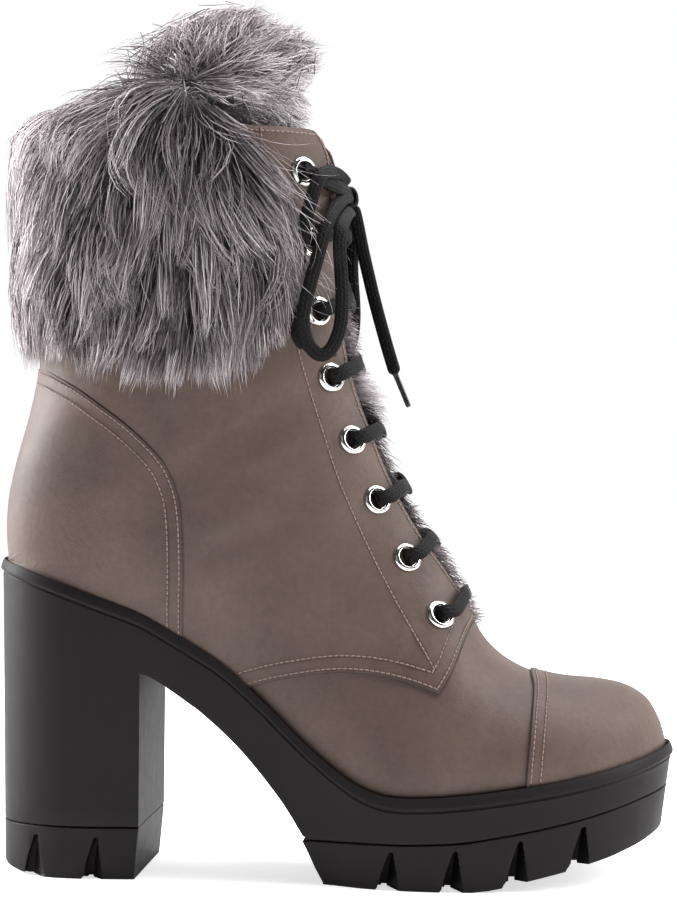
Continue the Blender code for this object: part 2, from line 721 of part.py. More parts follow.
# ---------------------------------------------------------------- on the leather
def front_point(row, y, lift):
    """A point near the throat: a row of the fan, a sideways distance, a height above."""
    def surface(r, w):
        side = -1 if w < 0 else 1
        return on_section(r, side, share_at_width(r, side, abs(w)))

    p = surface(row, y)
    across = surface(row, y + 0.6) - surface(row, y - 0.6)
    upward = surface(min(row + 0.15, 31.0), y) - surface(row - 0.15, y)
    n = upward.cross(across).normalized()
    if n.x < 0:
        n = -n
    return p + n * lift


def shaft_point(share, side, z, lift):
    """A point round the shaft at a height, lifted off the leather."""
    lo, hi = 22.0, 31.0
    for _ in range(22):
        mid = 0.5 * (lo + hi)
        if on_section(mid, side, share).z < z:
            lo = mid
        else:
            hi = mid
    p = on_section(lo, side, share)
    d = 0.01
    if share < d:
        a, b = on_section(lo, -side, d), on_section(lo, side, share + d)
    else:
        a, b = on_section(lo, side, share - d), on_section(lo, side, share + d)
    run = b - a
    n = Vector((run.y, -run.x, 0.0)).normalized()
    middle = Vector((-50.0, 0.0, z))
    if n.dot(p - middle) < 0:
        n = -n
    over = max(0.0, z - 268.6)
    return p + n * lift + Vector((0.0, 0.0, over))


def build_tongue(mat, where):
    rows = (8.3, 9.4, 10.2, 11.0, 12.0, 13.2, 14.6, 16.0, 18.0, 20.0, 22.0, 24.0, 26.5, 29.0, 30.5)
    half, across = 21.0, 3
    verts, faces = [], []
    for row in rows:
        for j in range(-across, across + 1):
            verts.append(front_point(row, half * j / across, TONGUE_OUT))
    n = 2 * across + 1
    for i in range(len(rows) - 1):
        for j in range(n - 1):
            a = i * n + j
            faces += triangles(verts, [a, a + n, a + n + 1, a + 1])
    normals = normals_of(verts, faces)
    if normals[len(normals) // 2].x < 0:
        faces = [tuple(reversed(f)) for f in faces]
        normals = [-k for k in normals]
    verts, faces = thick((verts, faces, normals), -TONGUE, 0.0)
    return add("tongue", verts, faces, mat, where)


def ring_mesh(loops, closed=False):
    """Faces through a run of equal loops, with the two ends closed."""
    verts = [p for loop in loops for p in loop]
    n, faces = len(loops[0]), []
    count = len(loops)
    for i in range(count if closed else count - 1):
        for k in range(n):
            a, b = i * n + k, i * n + (k + 1) % n
            c = ((i + 1) % count) * n
            faces.append((a, b, c + (k + 1) % n, c + k))
    if not closed:
        faces.append(tuple(range(n)))
        faces.append(tuple(range(count * n - 1, count * n - n - 1, -1)))
    return verts, faces


def build_fur_cuff(mat, where):
    """Fur folded over the collar, locks fused on: a ring open at the front."""
    steps = 18
    loops = []
    for k in range(-steps, steps + 1):
        part = abs(k) / steps
        side = -1 if k < 0 else 1
        odd = 1.0 if k % 2 else -1.0
        hem = along([(r[0], r[1]) for r in CUFF], part * 0.86)
        deep = along([(r[0], r[2]) for r in CUFF], part * 0.86)
        top = along([(r[0], r[3]) for r in CUFF], part * 0.86)
        tuft = 1.0 - 0.5 * part ** 6

        def at(z, lift, part=part, side=side):
            return shaft_point(part * along(CUFF_FRONT, z), side, z, lift)

        lock = 1.1 * odd * tuft
        loops.append([
            at(hem + 7.0, 1.4), at(268.6, 1.4), at(269.6, -1.6),
            at(268.6, -4.9), at(252.0, -4.9), at(246.0 + 2 * odd, -6.4), at(256.0, -8.4 - lock),
            at(268.6, -8.8 + lock), at(top - 4.0 + odd, -4.0), at(top - odd, 2.0),
            at(top - 4.0 + odd, deep * 0.68), at(266.0, deep * 0.92 - lock),
            at(250.0, deep + lock), at(233.0, deep - lock), at(215.0, deep + lock),
            at(hem + 18.0, deep * 0.97 - lock), at(hem + 6.0 + 2.5 * odd, deep * 0.86 + lock),
            at(hem - 1.5 + 3.5 * odd, deep * 0.5),
        ])
    verts, faces = ring_mesh(loops)
    tris = []
    for f in faces:
        tris += triangles(verts, list(f)) if len(f) == 4 else [f]
    return add("fur_cuff", verts, tris, mat, where)


def build_tongue_fur(mat, where):
    """Fur down the face of the tongue and a tall plume over its top."""
    loops = []
    turn = 14
    for row in (12.7, 14.0, 16.0, 19.0, 22.0, 25.0, 28.0, 31.0):
        loop = []
        for k in range(turn):
            a = 2.0 * math.pi * k / turn
            lift = FUR_BED + FUR_NAP * (0.5 + 0.5 * math.cos(a))
            half = 3.4 if row < 20.0 else 4.6
            loop.append(front_point(row, half * math.sin(a), lift))
        loops.append(loop)
    for i, (x, z, half_x, half_y, lean) in enumerate(PLUME):
        loop = []
        for k in range(turn):
            a = 2.0 * math.pi * k / turn
            jag = 1.0 + (0.10 if (k + i) % 2 else -0.06)
            px = half_x * math.cos(a) * jag
            loop.append(Vector((x + px, half_y * math.sin(a) * jag, z + lean * px)))
        loops.append(loop)
    verts, faces = ring_mesh(loops)
    return add("tongue_fur", verts, faces, mat, where)


def stand(ob, seat, axis):
    """Set an object on a seat with its own Z along an axis."""
    ob.rotation_mode = "QUATERNION"
    ob.rotation_quaternion = axis.to_track_quat("Z", "Y")
    ob.location = (Vector(seat) + Vector(ORIGIN)) * MM


def turned_ring(name, profile, seat, axis, mat, where, turn=8):
    """A ring turned from a closed profile of radius and height, set on the leather."""
    me = bpy.data.meshes.new(name)
    n = len(profile)
    me.from_pydata([(r * MM, 0.0, h * MM) for r, h in profile],
                   [(k, (k + 1) % n) for k in range(n)], [])
    me.materials.append(mat)
    ob = bpy.data.objects.new(name, me)
    where.objects.link(ob)
    spin = ob.modifiers.new("turn", "SCREW")
    spin.angle = 2.0 * math.pi
    spin.screw_offset = 0.0
    spin.steps = turn
    spin.render_steps = turn
    spin.use_merge_vertices = True
    spin.merge_threshold = 0.00001
    spin.use_smooth_shade = False
    spin.use_normal_calculate = True
    spin.use_normal_flip = True
    stand(ob, seat, axis)
    return ob


def rod(name, seat, axis, radius, low, high, where, turn=8):
    """A straight punch along an axis."""
    bm = bmesh.new()
    bmesh.ops.create_cone(bm, cap_ends=True, segments=turn, radius1=radius * MM,
                          radius2=radius * MM, depth=(high - low) * MM)
    bmesh.ops.translate(bm, verts=bm.verts, vec=(0.0, 0.0, 0.5 * (low + high) * MM))
    me = bpy.data.meshes.new(name)
    bm.to_mesh(me)
    bm.free()
    ob = bpy.data.objects.new(name, me)
    where.objects.link(ob)
    stand(ob, seat, axis)
    return as_cutter(ob)


def eyelet_seat(x, z, side):
    """Where an eyelet sits on the leather, and the way it faces."""
    def hit(dx, dz):
        start = Vector((x + dx, side * 90.0, z + dz))
        return skin_tree.ray_cast(start, Vector((0.0, -side, 0.0)))[0]

    spot = hit(0.0, 0.0)
    fore, aft, high, low = hit(3.2, 1.0), hit(-3.2, -1.0), hit(-1.0, 3.2), hit(1.0, -3.2)
    normal = (fore - aft).cross(high - low).normalized()
    if normal.y * side < 0:
        normal = -normal
    rise = max(0.0, max((p - spot).dot(normal) for p in (fore, aft, high, low)))
    return spot + normal * rise, normal


def clear_of_leather(x, y, z, side, lift):
    """A point at a side's distance y, moved out until it clears the leather."""
    start = Vector((x, side * 90.0, z))
    spot = skin_tree.ray_cast(start, Vector((0.0, -side, 0.0)))[0]
    if spot is not None and spot.y * side > 0:
        y = max(y, abs(spot.y) + lift)
    return Vector((x, side * y, z))


def build_knot(mat, where):
    """The knot: a rounded lump with a shallow twist."""
    bm = bmesh.new()
    bmesh.ops.create_uvsphere(bm, u_segments=10, v_segments=7, radius=1.0)
    for v in bm.verts:
        x, y, z = v.co
        a = math.atan2(z, x)
        r = 1.0 + 0.07 * math.cos(2.0 * a + 2.0 * y)
        v.co = (x * r * KNOT_SIZE[0] * MM, y * KNOT_SIZE[1] * MM, z * r * KNOT_SIZE[2] * MM)
    me = bpy.data.meshes.new("lace_knot")
    bm.to_mesh(me)
    bm.free()
    me.materials.append(mat)
    ob = bpy.data.objects.new("lace_knot", me)
    where.objects.link(ob)
    ob.location = (Vector(KNOT) + Vector(ORIGIN)) * MM
    return ob


def row_through(x, z):
    """The row of the fan whose plane passes through a point seen from the side."""
    lo, hi = THROAT_ROW, 31.0
    for _ in range(40):
        mid = 0.5 * (lo + hi)
        ax, az, bx, bz = between(SECTIONS, mid)[:4]
        if (ax - bx) * (z - bz) - (az - bz) * (x - bx) > 0:
            lo = mid
        else:
            hi = mid
    return lo


def curve_points(points, count):
    """A smooth run through a few points, resampled."""
    data = [tuple(p) for p in points]
    out = []
    for k in range(count):
        t = k / (count - 1) * (len(data) - 1)
        out.append(Vector(between(data, t)))
    return out


def tube(name, points, radius, mat, where, resolution=1):
    """A round cord along a run of points, in millimetres, with closed ends."""
    cu = bpy.data.curves.new(name, "CURVE")
    cu.dimensions = "3D"
    cu.bevel_depth = radius * MM
    cu.bevel_resolution = resolution
    cu.use_fill_caps = True
    sp = cu.splines.new("POLY")
    sp.points.add(len(points) - 1)
    shift = Vector(ORIGIN)
    for q, p in zip(sp.points, points):
        q.co = (*((Vector(p) + shift) * MM), 1.0)
    cu.materials.append(mat)
    ob = bpy.data.objects.new(name, cu)
    where.objects.link(ob)
    return ob


def threaded(first, mat, where):
    """One half of the lace: from the bottom bar, criss-cross up to a top eyelet."""
    side = first
    name = "lace_cross_outer" if first < 0 else "lace_cross_inner"
    spots = []
    for x, z in EYELETS:
        spot, _ = eyelet_seat(x, z, -1)
        spots.append((row_through(spot.x, spot.z), abs(spot.y), x, z))

    def hole(k, flank, h):
        spot, facing = eyelet_seat(spots[k][2], spots[k][3], flank)
        return spot + facing * h

    near, middle, far = (-0.9, -1.6, -2.0) if first < 0 else (-4.0, -5.1, -5.1)
    row, y = spots[-1][:2]
    start = front_point(row, side * 0.4, UNDER - 0.5)
    path = [start, Vector((start.x, side * 4.0, start.z)),
            front_point(row, side * (y - 5.0), UNDER - 0.8)]
    for k in range(len(EYELETS) - 1, -1, -1):
        row, y = spots[k][:2]
        path += [hole(k, side, h) for h in (-5.5, -3.0, 0.0, 3.2)]
        if k == 0:
            break
        up = spots[k - 1][0]
        gap = up - row
        cross = 0.22
        edge = max(along(THROAT, row + 0.2 * gap), 7.0)
        edge_up = along(THROAT, row + 0.8 * gap)
        path += [
            front_point(row + 0.08 * gap, side * (y - 2.4), 4.9),
            front_point(row + 0.46 * cross * gap, side * (edge + 0.3), 3.3),
            front_point(row + 0.62 * cross * gap, side * (edge - 3.2), 1.0),
            front_point(row + 0.80 * cross * gap, side * 0.42 * edge, near),
            front_point(row + cross * gap, 0.0001, middle),
            front_point(row + (cross + 0.12) * gap, -side * 0.40 * edge_up, far),
            front_point(row + 0.77 * gap, -side * 0.72 * edge_up, -4.9),
            front_point(row + 0.90 * gap, -side * (edge_up + 1.0), UNDER - 0.1),
        ]
        side = -side
    path += [Vector((x, side * y, z)) for x, y, z in TO_KNOT]
    return tube(name, path, LACE_R, mat, where)


# ---------------------------------------------------------------- build
remove_everything()
boot = collection("fur_cuff_boot")
cutters = collection("cutters")

LEATHER = material("taupe_leather", (0.135, 0.105, 0.090), 0.50)
LEATHER_DARK = material("taupe_lining", (0.120, 0.095, 0.085), 0.70)
RUBBER = material("black_rubber", (0.022, 0.020, 0.020), 0.42)
FUR = material("taupe_fur", (0.240, 0.190, 0.205), 0.85)
NICKEL = material("polished_nickel", (0.780, 0.760, 0.730), 0.20, 1.0)
CORD = material("black_lace", (0.018, 0.017, 0.017), 0.80)
FELT = material("insole_felt", (0.150, 0.125, 0.115), 0.90)

skin = leather_skin()
skin_tree = BVHTree.FromPolygons([tuple(v) for v in skin[0]], skin[1])

verts, faces = thick(skin, -(LAP + GAP + WALL), -(LAP + GAP))
upper = add("upper", verts, faces, LEATHER, boot)

cap_profile = list(CAP_SEAM) + [(135.0, 20.0), (135.0, 90.0)]
verts, faces = thick(skin, -LAP, 0.3)
toe_cap = add("toe_cap", verts, faces, LEATHER, boot)
cut(toe_cap, prism("cap_form", cap_profile, -80.0, 80.0, cutters), "INTERSECT")

counter_profile = [(-150.0, 195.0), (-112.0, 185.0)] + list(COUNTER_SEAM) + [(-150.0, 70.0)]
heel_counter = add("heel_counter", verts, faces, LEATHER, boot)
cut(heel_counter, prism("counter_form", counter_profile, -80.0, 80.0, cutters), "INTERSECT")

quarter_profile = list(QUARTER_SEAM) + [(60.0, 120.0), (60.0, 290.0), (-150.0, 290.0)]
quarter_profile += [(x + 0.25, z + 0.35) for x, z in counter_profile[:-1]]
verts, faces = thick(skin, -LAP, 0.0)
for name, y0, y1 in (("quarter_outer", -80.0, -0.2), ("quarter_inner", 0.2, 80.0)):
    quarter = add(name, verts, faces, LEATHER, boot)
    cut(quarter, prism(name + "_form", quarter_profile, y0, y1, cutters), "INTERSECT")

build_sole_unit(RUBBER, boot)
build_forefoot_tread(RUBBER, boot, cutters)
build_heel_tread(RUBBER, boot, cutters)
build_insole(FELT, boot)
build_tongue(LEATHER_DARK, boot)
build_fur_cuff(FUR, boot)
build_tongue_fur(FUR, boot)

for side, word in ((-1, "outer"), (1, "inner")):
    for k, (x, z) in enumerate(EYELETS):
        spot, facing = eyelet_seat(x, z, side)
        punch = rod("punch_%s_%d" % (word, k + 1), spot, facing, HOLE_R, -9.0, 6.0, cutters)
        cut(upper, punch)
        cut(bpy.data.objects["quarter_" + word], punch)
        turned_ring("eyelet_%s_%d" % (word, k + 1), EYELET_RING, spot, facing, NICKEL, boot)

build_knot(CORD, boot)
for side, word in ((-1, "outer"), (1, "inner")):
    threaded(side, CORD, boot)
    loop = [clear_of_leather(x, y, z, side, BOW_R + 7.5) for x, y, z in LOOP]
    tube("lace_loop_" + word, curve_points(loop, 34), BOW_R, CORD, boot)
    end = [(x, side * y, z) for x, y, z in (OUTER_END if side < 0 else FREE_END)]
    tube("lace_end_" + word, curve_points(end, 20), BOW_R * 0.85, CORD, boot)
    tip = [(x, side * y, z) for x, y, z in (OUTER_AGLET if side < 0 else AGLET)]
    tube("aglet_" + word, curve_points(tip, 3), AGLET_R, CORD, boot, 2)
cutters.hide_render = True
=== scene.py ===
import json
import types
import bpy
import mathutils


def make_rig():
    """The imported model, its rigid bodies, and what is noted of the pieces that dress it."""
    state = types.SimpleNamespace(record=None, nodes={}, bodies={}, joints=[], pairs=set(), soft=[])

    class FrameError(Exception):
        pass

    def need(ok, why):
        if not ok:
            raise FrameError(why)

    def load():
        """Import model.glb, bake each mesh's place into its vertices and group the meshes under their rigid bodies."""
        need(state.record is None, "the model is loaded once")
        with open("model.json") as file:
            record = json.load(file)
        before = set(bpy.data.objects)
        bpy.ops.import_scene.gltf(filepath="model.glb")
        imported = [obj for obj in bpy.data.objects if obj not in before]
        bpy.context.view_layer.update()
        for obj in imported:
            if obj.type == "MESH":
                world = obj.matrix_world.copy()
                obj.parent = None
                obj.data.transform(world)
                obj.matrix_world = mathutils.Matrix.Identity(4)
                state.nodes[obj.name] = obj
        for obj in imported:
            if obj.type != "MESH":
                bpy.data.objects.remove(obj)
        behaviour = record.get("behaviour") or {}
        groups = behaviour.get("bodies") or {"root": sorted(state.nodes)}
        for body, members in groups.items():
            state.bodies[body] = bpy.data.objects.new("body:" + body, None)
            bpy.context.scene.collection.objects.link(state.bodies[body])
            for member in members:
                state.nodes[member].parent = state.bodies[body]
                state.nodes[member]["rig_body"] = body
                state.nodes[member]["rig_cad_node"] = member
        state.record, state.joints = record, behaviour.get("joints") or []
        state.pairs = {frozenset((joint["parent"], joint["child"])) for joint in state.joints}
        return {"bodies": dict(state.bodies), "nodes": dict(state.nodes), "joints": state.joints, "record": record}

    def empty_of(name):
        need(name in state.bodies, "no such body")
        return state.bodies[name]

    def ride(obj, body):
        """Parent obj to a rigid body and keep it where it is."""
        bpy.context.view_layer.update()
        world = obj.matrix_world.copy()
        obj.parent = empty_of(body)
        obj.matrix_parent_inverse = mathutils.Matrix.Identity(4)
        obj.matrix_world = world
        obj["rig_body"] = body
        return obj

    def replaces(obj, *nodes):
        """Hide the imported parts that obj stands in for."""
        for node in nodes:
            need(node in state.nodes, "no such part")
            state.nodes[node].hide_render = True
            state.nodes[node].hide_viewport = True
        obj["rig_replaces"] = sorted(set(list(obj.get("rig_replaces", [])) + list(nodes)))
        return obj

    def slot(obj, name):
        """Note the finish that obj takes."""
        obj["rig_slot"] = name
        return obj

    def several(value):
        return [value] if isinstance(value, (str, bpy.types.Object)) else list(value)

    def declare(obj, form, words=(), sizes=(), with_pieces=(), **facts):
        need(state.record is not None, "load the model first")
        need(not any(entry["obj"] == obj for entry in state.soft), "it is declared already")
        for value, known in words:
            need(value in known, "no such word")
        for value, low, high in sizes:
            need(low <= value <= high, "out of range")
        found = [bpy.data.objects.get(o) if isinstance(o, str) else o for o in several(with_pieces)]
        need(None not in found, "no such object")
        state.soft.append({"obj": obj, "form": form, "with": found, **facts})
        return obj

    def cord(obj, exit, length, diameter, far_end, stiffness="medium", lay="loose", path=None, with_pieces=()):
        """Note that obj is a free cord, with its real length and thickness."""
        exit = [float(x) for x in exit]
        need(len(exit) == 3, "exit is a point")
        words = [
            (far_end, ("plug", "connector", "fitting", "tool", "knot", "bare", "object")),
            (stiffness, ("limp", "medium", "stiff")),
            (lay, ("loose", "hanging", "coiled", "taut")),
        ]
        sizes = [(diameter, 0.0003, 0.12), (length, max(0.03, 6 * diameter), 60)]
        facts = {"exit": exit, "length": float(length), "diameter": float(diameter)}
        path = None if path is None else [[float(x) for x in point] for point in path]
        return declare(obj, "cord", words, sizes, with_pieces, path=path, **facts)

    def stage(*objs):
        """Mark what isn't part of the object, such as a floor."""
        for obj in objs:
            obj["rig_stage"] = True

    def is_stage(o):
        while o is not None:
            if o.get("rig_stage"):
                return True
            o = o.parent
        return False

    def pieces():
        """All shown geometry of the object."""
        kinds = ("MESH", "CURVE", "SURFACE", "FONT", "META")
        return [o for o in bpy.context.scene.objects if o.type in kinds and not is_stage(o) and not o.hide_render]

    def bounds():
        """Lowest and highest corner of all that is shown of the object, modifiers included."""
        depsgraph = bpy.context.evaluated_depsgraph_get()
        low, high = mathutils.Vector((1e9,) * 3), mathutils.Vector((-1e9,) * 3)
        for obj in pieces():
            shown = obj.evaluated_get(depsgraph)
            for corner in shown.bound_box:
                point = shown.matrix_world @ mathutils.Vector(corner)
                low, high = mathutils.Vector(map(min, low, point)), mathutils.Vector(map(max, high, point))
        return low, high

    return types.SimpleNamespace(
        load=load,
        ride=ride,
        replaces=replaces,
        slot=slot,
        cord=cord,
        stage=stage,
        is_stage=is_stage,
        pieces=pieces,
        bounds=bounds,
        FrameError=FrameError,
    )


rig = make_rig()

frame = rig.load()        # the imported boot: one body, "root"

import json
import math

import bmesh
import bpy
import numpy as np
from mathutils import Vector

MM = 0.001
ORIGIN = np.array((1.35, 0.0, 0.0))
cad_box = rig.bounds()

# ================================================================ camera, light, floor
# The boot stands on a pale floor and is seen from its outer side, a little from the
# toe, level with the ankle.  Soft boxes stand above, in front of the toe and behind.
TURN = math.radians(4.5)
DISTANCE = 0.880
EYE_HEIGHT = 0.1536

lens = bpy.data.cameras.new("studio_camera")
lens.lens = 95.75
lens.sensor_width = 36.0
lens.clip_start = 0.05
camera = bpy.data.objects.new("studio_camera", lens)
bpy.context.scene.collection.objects.link(camera)
aim = Vector((ORIGIN[0] * MM, 0.0, EYE_HEIGHT))
camera.location = aim + Vector((math.sin(TURN), -math.cos(TURN), 0.0)) * DISTANCE
camera.rotation_euler = (math.radians(90.0), 0.0, TURN)
bpy.context.scene.camera = camera

bpy.context.scene.view_settings.view_transform = "Standard"
bpy.context.scene.view_settings.look = "None"

world = bpy.data.worlds.new("studio_air")
bpy.context.scene.world = world
world.use_nodes = True
world.node_tree.nodes["Background"].inputs["Color"].default_value = (1.0, 1.0, 1.0, 1.0)


def soft_box(name, place, target, width, height, power):
    """A rectangular studio light that looks at a target."""
    data = bpy.data.lights.new(name, "AREA")
    data.shape = "RECTANGLE"
    data.size = width
    data.size_y = height
    data.energy = power
    lamp = bpy.data.objects.new(name, data)
    lamp.location = place
    toward = Vector(target) - Vector(place)
    lamp.rotation_euler = toward.to_track_quat("-Z", "Y").to_euler()
    bpy.context.scene.collection.objects.link(lamp)


soft_box("overhead_box", (0.12, 0.12, 1.15), (0.0, 0.0, 0.10), 0.9, 0.9, 13.0)
soft_box("toe_box", (1.05, -0.08, 0.8), (0.0, 0.0, 0.15), 0.6, 0.9, 16.0)
soft_box("front_box", (-0.35, -1.25, 0.65), (0.0, 0.0, 0.13), 0.8, 0.8, 0.6)
soft_box("heel_box", (-1.05, 0.22, 0.55), (-0.05, 0.0, 0.17), 0.5, 0.9, 28.0)


# ---------------------------------------------------------------- finishes
class Value:
    """A socket of a finish; arithmetic on it adds Math nodes."""

    def __init__(self, finish, socket):
        self.finish = finish
        self.socket = socket

    def math(self, operation, *others):
        return self.finish.node("Math", {"operation": operation},
                                dict(enumerate((self, *others))))

    def __add__(self, other):
        return self.math("ADD", other)

    def __mul__(self, other):
        return self.math("MULTIPLY", other)

    def __sub__(self, other):
        return self.math("SUBTRACT", other)

    def __rsub__(self, other):
        return self.finish.node("Math", {"operation": "SUBTRACT"}, {0: other, 1: self})

    def __abs__(self):
        return self.math("ABSOLUTE")

    def ramp(self, low, high):
        """0 at low, 1 at high, straight between."""
        return self.finish.node("MapRange", {}, {"Value": self, "From Min": low,
                                                 "From Max": high})

    __radd__, __rmul__ = __add__, __mul__


class Finish:
    """A material round one Principled shader, with constants set on its own sockets."""

    def __init__(self, name, **fixed):
        self.material = bpy.data.materials.new(name)
        self.material.use_nodes = True
        self.tree = self.material.node_tree
        self.shader = self.tree.nodes["Principled BSDF"]
        for key, number in fixed.items():
            self.shader.inputs[key.replace("_", " ")].default_value = number

    def node(self, kind, settings=None, inputs=None, out=0):
        n = self.tree.nodes.new("ShaderNode" + kind)
        for key, number in (settings or {}).items():
            if key == "stops":
                ramp = n.color_ramp.elements
                while len(ramp) < len(number):
                    ramp.new(0.5)
                for element, (place, colour) in zip(ramp, number):
                    element.position = place
                    element.color = (*colour, 1.0)
            else:
                setattr(n, key, number)
        for key, number in (inputs or {}).items():
            self.feed(n.inputs[key], number)
        return Value(self, n.outputs[out])

    def feed(self, socket, number):
        if isinstance(number, Value):
            self.tree.links.new(number.socket, socket)
        elif isinstance(number, tuple) and socket.type == "RGBA":
            socket.default_value = (*number, 1.0)
        else:
            socket.default_value = number

    def set(self, socket, number):
        self.feed(self.shader.inputs[socket], number)

    def noise(self, scale, detail=2.0, rough=0.5, warp=0.0):
        place = self.node("TexCoord", out=3)
        return self.node("TexNoise", {}, {"Vector": place, "Scale": scale, "Detail": detail,
                                          "Roughness": rough, "Distortion": warp})

    def part(self, vector, axis):
        """One part of a vector."""
        return self.node("SeparateXYZ", {}, {"Vector": vector}, out=axis)

    def mix(self, share, a, b, blend="MIX"):
        return self.node("Mix", {"data_type": "RGBA", "blend_type": blend},
                         {0: share, 6: a, 7: b}, out=2)

    def mottled(self, cloud, dark, light):
        """A base colour that wanders between two."""
        self.set("Base Color", self.mix(cloud, dark, light))

    def bump(self, height, distance, strength=1.0, **under):
        return self.node("Bump", {}, {"Height": height, "Distance": distance,
                                      "Strength": strength, **under})


def linear(*shown):
    """A colour given as 0 to 255 in each channel of a display, as light."""
    return tuple(c / 12.92 if c <= 0.04045 else ((c + 0.055) / 1.055) ** 2.4
                 for c in (s / 255.0 for s in shown))


class Air(Finish):
    """The light that comes from all round, built from the same nodes."""

    def __init__(self, around):
        self.tree = around.node_tree
        self.shader = self.tree.nodes["Background"]


# Dim on the side that the boot's outer face looks to, bright behind it; white as seen.
air = Air(world)
behind = air.part(air.node("TexCoord"), 1)
glow = 0.05 + 1.15 * behind.ramp(-0.1, 0.8)
air.set("Strength", glow + air.node("LightPath") * (1.0 - glow))

floor_finish = Finish("studio_floor", Roughness=0.9, Specular_IOR_Level=0.1,
                      Emission_Strength=0.66)
floor_finish.set("Base Color", (0.92, 0.92, 0.92))
floor_finish.set("Emission Color", floor_finish.mix(floor_finish.node("LightPath"),
                                                    (0.35, 0.35, 0.35), (1.0, 1.0, 1.0)))
bpy.ops.mesh.primitive_plane_add(size=12.0)
floor = bpy.context.object
floor.name = "studio_floor"
floor.data.materials.append(floor_finish.material)
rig.stage(floor)


# ================================================================ sole unit
# Heel block, arch and platform moulded in one piece of matt black rubber.  A rounded
# lip stands up round the leather, with a fine groove cut under it.
def along(table, x):
    """Straight interpolation in a two-column table."""
    data = sorted(table)
    return np.interp(x, [r[0] for r in data], [r[1] for r in data])


def soft(table, x, spread=5.0):
    """Interpolation averaged over a short span, so corners come out round."""
    steps = (-1.0, -0.6, -0.3, 0.0, 0.3, 0.6, 1.0)
    return sum(along(table, x + s * spread) for s in steps) / len(steps)


def between(rows, t):
    """Catmull-Rom along the rows of a table, at the row number t."""
    last = len(rows) - 1
    i = min(int(max(t, 0.0)), last - 1)
    f = t - i
    before = rows[i - 1] if i > 0 else mirrored(rows[0], rows[1])
    after = rows[i + 2] if i + 2 <= last else mirrored(rows[-1], rows[-2])
    return [((2 * f - 3) * f * f + 1) * q + (3 - 2 * f) * f * f * r
            + 0.5 * f * (1 - f) * ((1 - f) * (r - p) - f * (s - q))
            for p, q, r, s in zip(before, rows[i], rows[i + 1], after)]


def mirrored(end, near):
    """The row beyond an end: reflected at a rounded tip, otherwise carried straight on."""
    if len(end) == 3 and end[1] == 0.0:
        return near[0], -near[1], -near[2]
    if len(end) == 8 and end[4] == 0.0:
        return near[2:4] + near[:2] + near[4:]
    return tuple(2 * e - n for e, n in zip(end, near))


def mesh_piece(name, verts, faces, finish, strip=None, sharp=0.0):
    """A mesh piece in millimetres.  faces is a list of arrays of faces; strip gives every
    vertex a place on the finish as two numbers."""
    verts = (np.asarray(verts, float) + ORIGIN) * MM
    faces = [np.asarray(f, np.int32) for f in faces if len(f)]
    sizes = np.concatenate([np.full(len(f), f.shape[1], np.int32) for f in faces])
    corners = np.concatenate([f.ravel() for f in faces])
    me = bpy.data.meshes.new(name)
    me.vertices.add(len(verts))
    me.vertices.foreach_set("co", verts.astype(np.float32).ravel())
    me.loops.add(len(corners))
    me.loops.foreach_set("vertex_index", corners)
    me.polygons.add(len(sizes))
    me.polygons.foreach_set("loop_start", np.concatenate([[0], np.cumsum(sizes)[:-1]]))
    me.polygons.foreach_set("use_smooth", np.ones(len(sizes), bool))
    me.update(calc_edges=True)
    if strip is not None:
        add_uv(me, "OFBake", strip)
    if sharp:
        me.set_sharp_from_angle(angle=math.radians(sharp))
    me.materials.append(finish.material)
    ob = bpy.data.objects.new(name, me)
    bpy.context.scene.collection.objects.link(ob)
    return ob


def add_uv(me, name, places):
    """A map that gives every vertex one place."""
    corners = np.zeros(len(me.loops), np.int32)
    me.loops.foreach_get("vertex_index", corners)
    layer = me.uv_layers.new(name=name)
    layer.data.foreach_set("uv", np.asarray(places, np.float32)[corners].ravel())


def fit(piece, slot, *nodes):
    """The piece goes with the boot's one body and stands for its solids."""
    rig.ride(piece, "root")
    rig.slot(piece, slot)
    if nodes:
        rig.replaces(piece, *nodes)
    return piece


def grid_faces(n, m, start=0, closed=False, ring=False):
    """Quads of a grid of n rows of m points; closed joins the last column to the first,
    and ring the last row to the first."""
    i, j = np.meshgrid(np.arange(n if ring else n - 1), np.arange(m if closed else m - 1),
                       indexing="ij")
    i2, j2 = (i + 1) % n, (j + 1) % m
    corners = [i * m + j, i * m + j2, i2 * m + j2, i2 * m + j]
    return start + np.stack(corners, axis=-1).reshape(-1, 4)


FEATHER = 2.8                  # from the sole's outer edge to the leather
DISH = 3.1                     # depth of the footbed below the lip
LIP_DROP = 4.2
BREAST_X = -69.0
HEEL_TREAD = 18.5
PART_LINE = 0.3

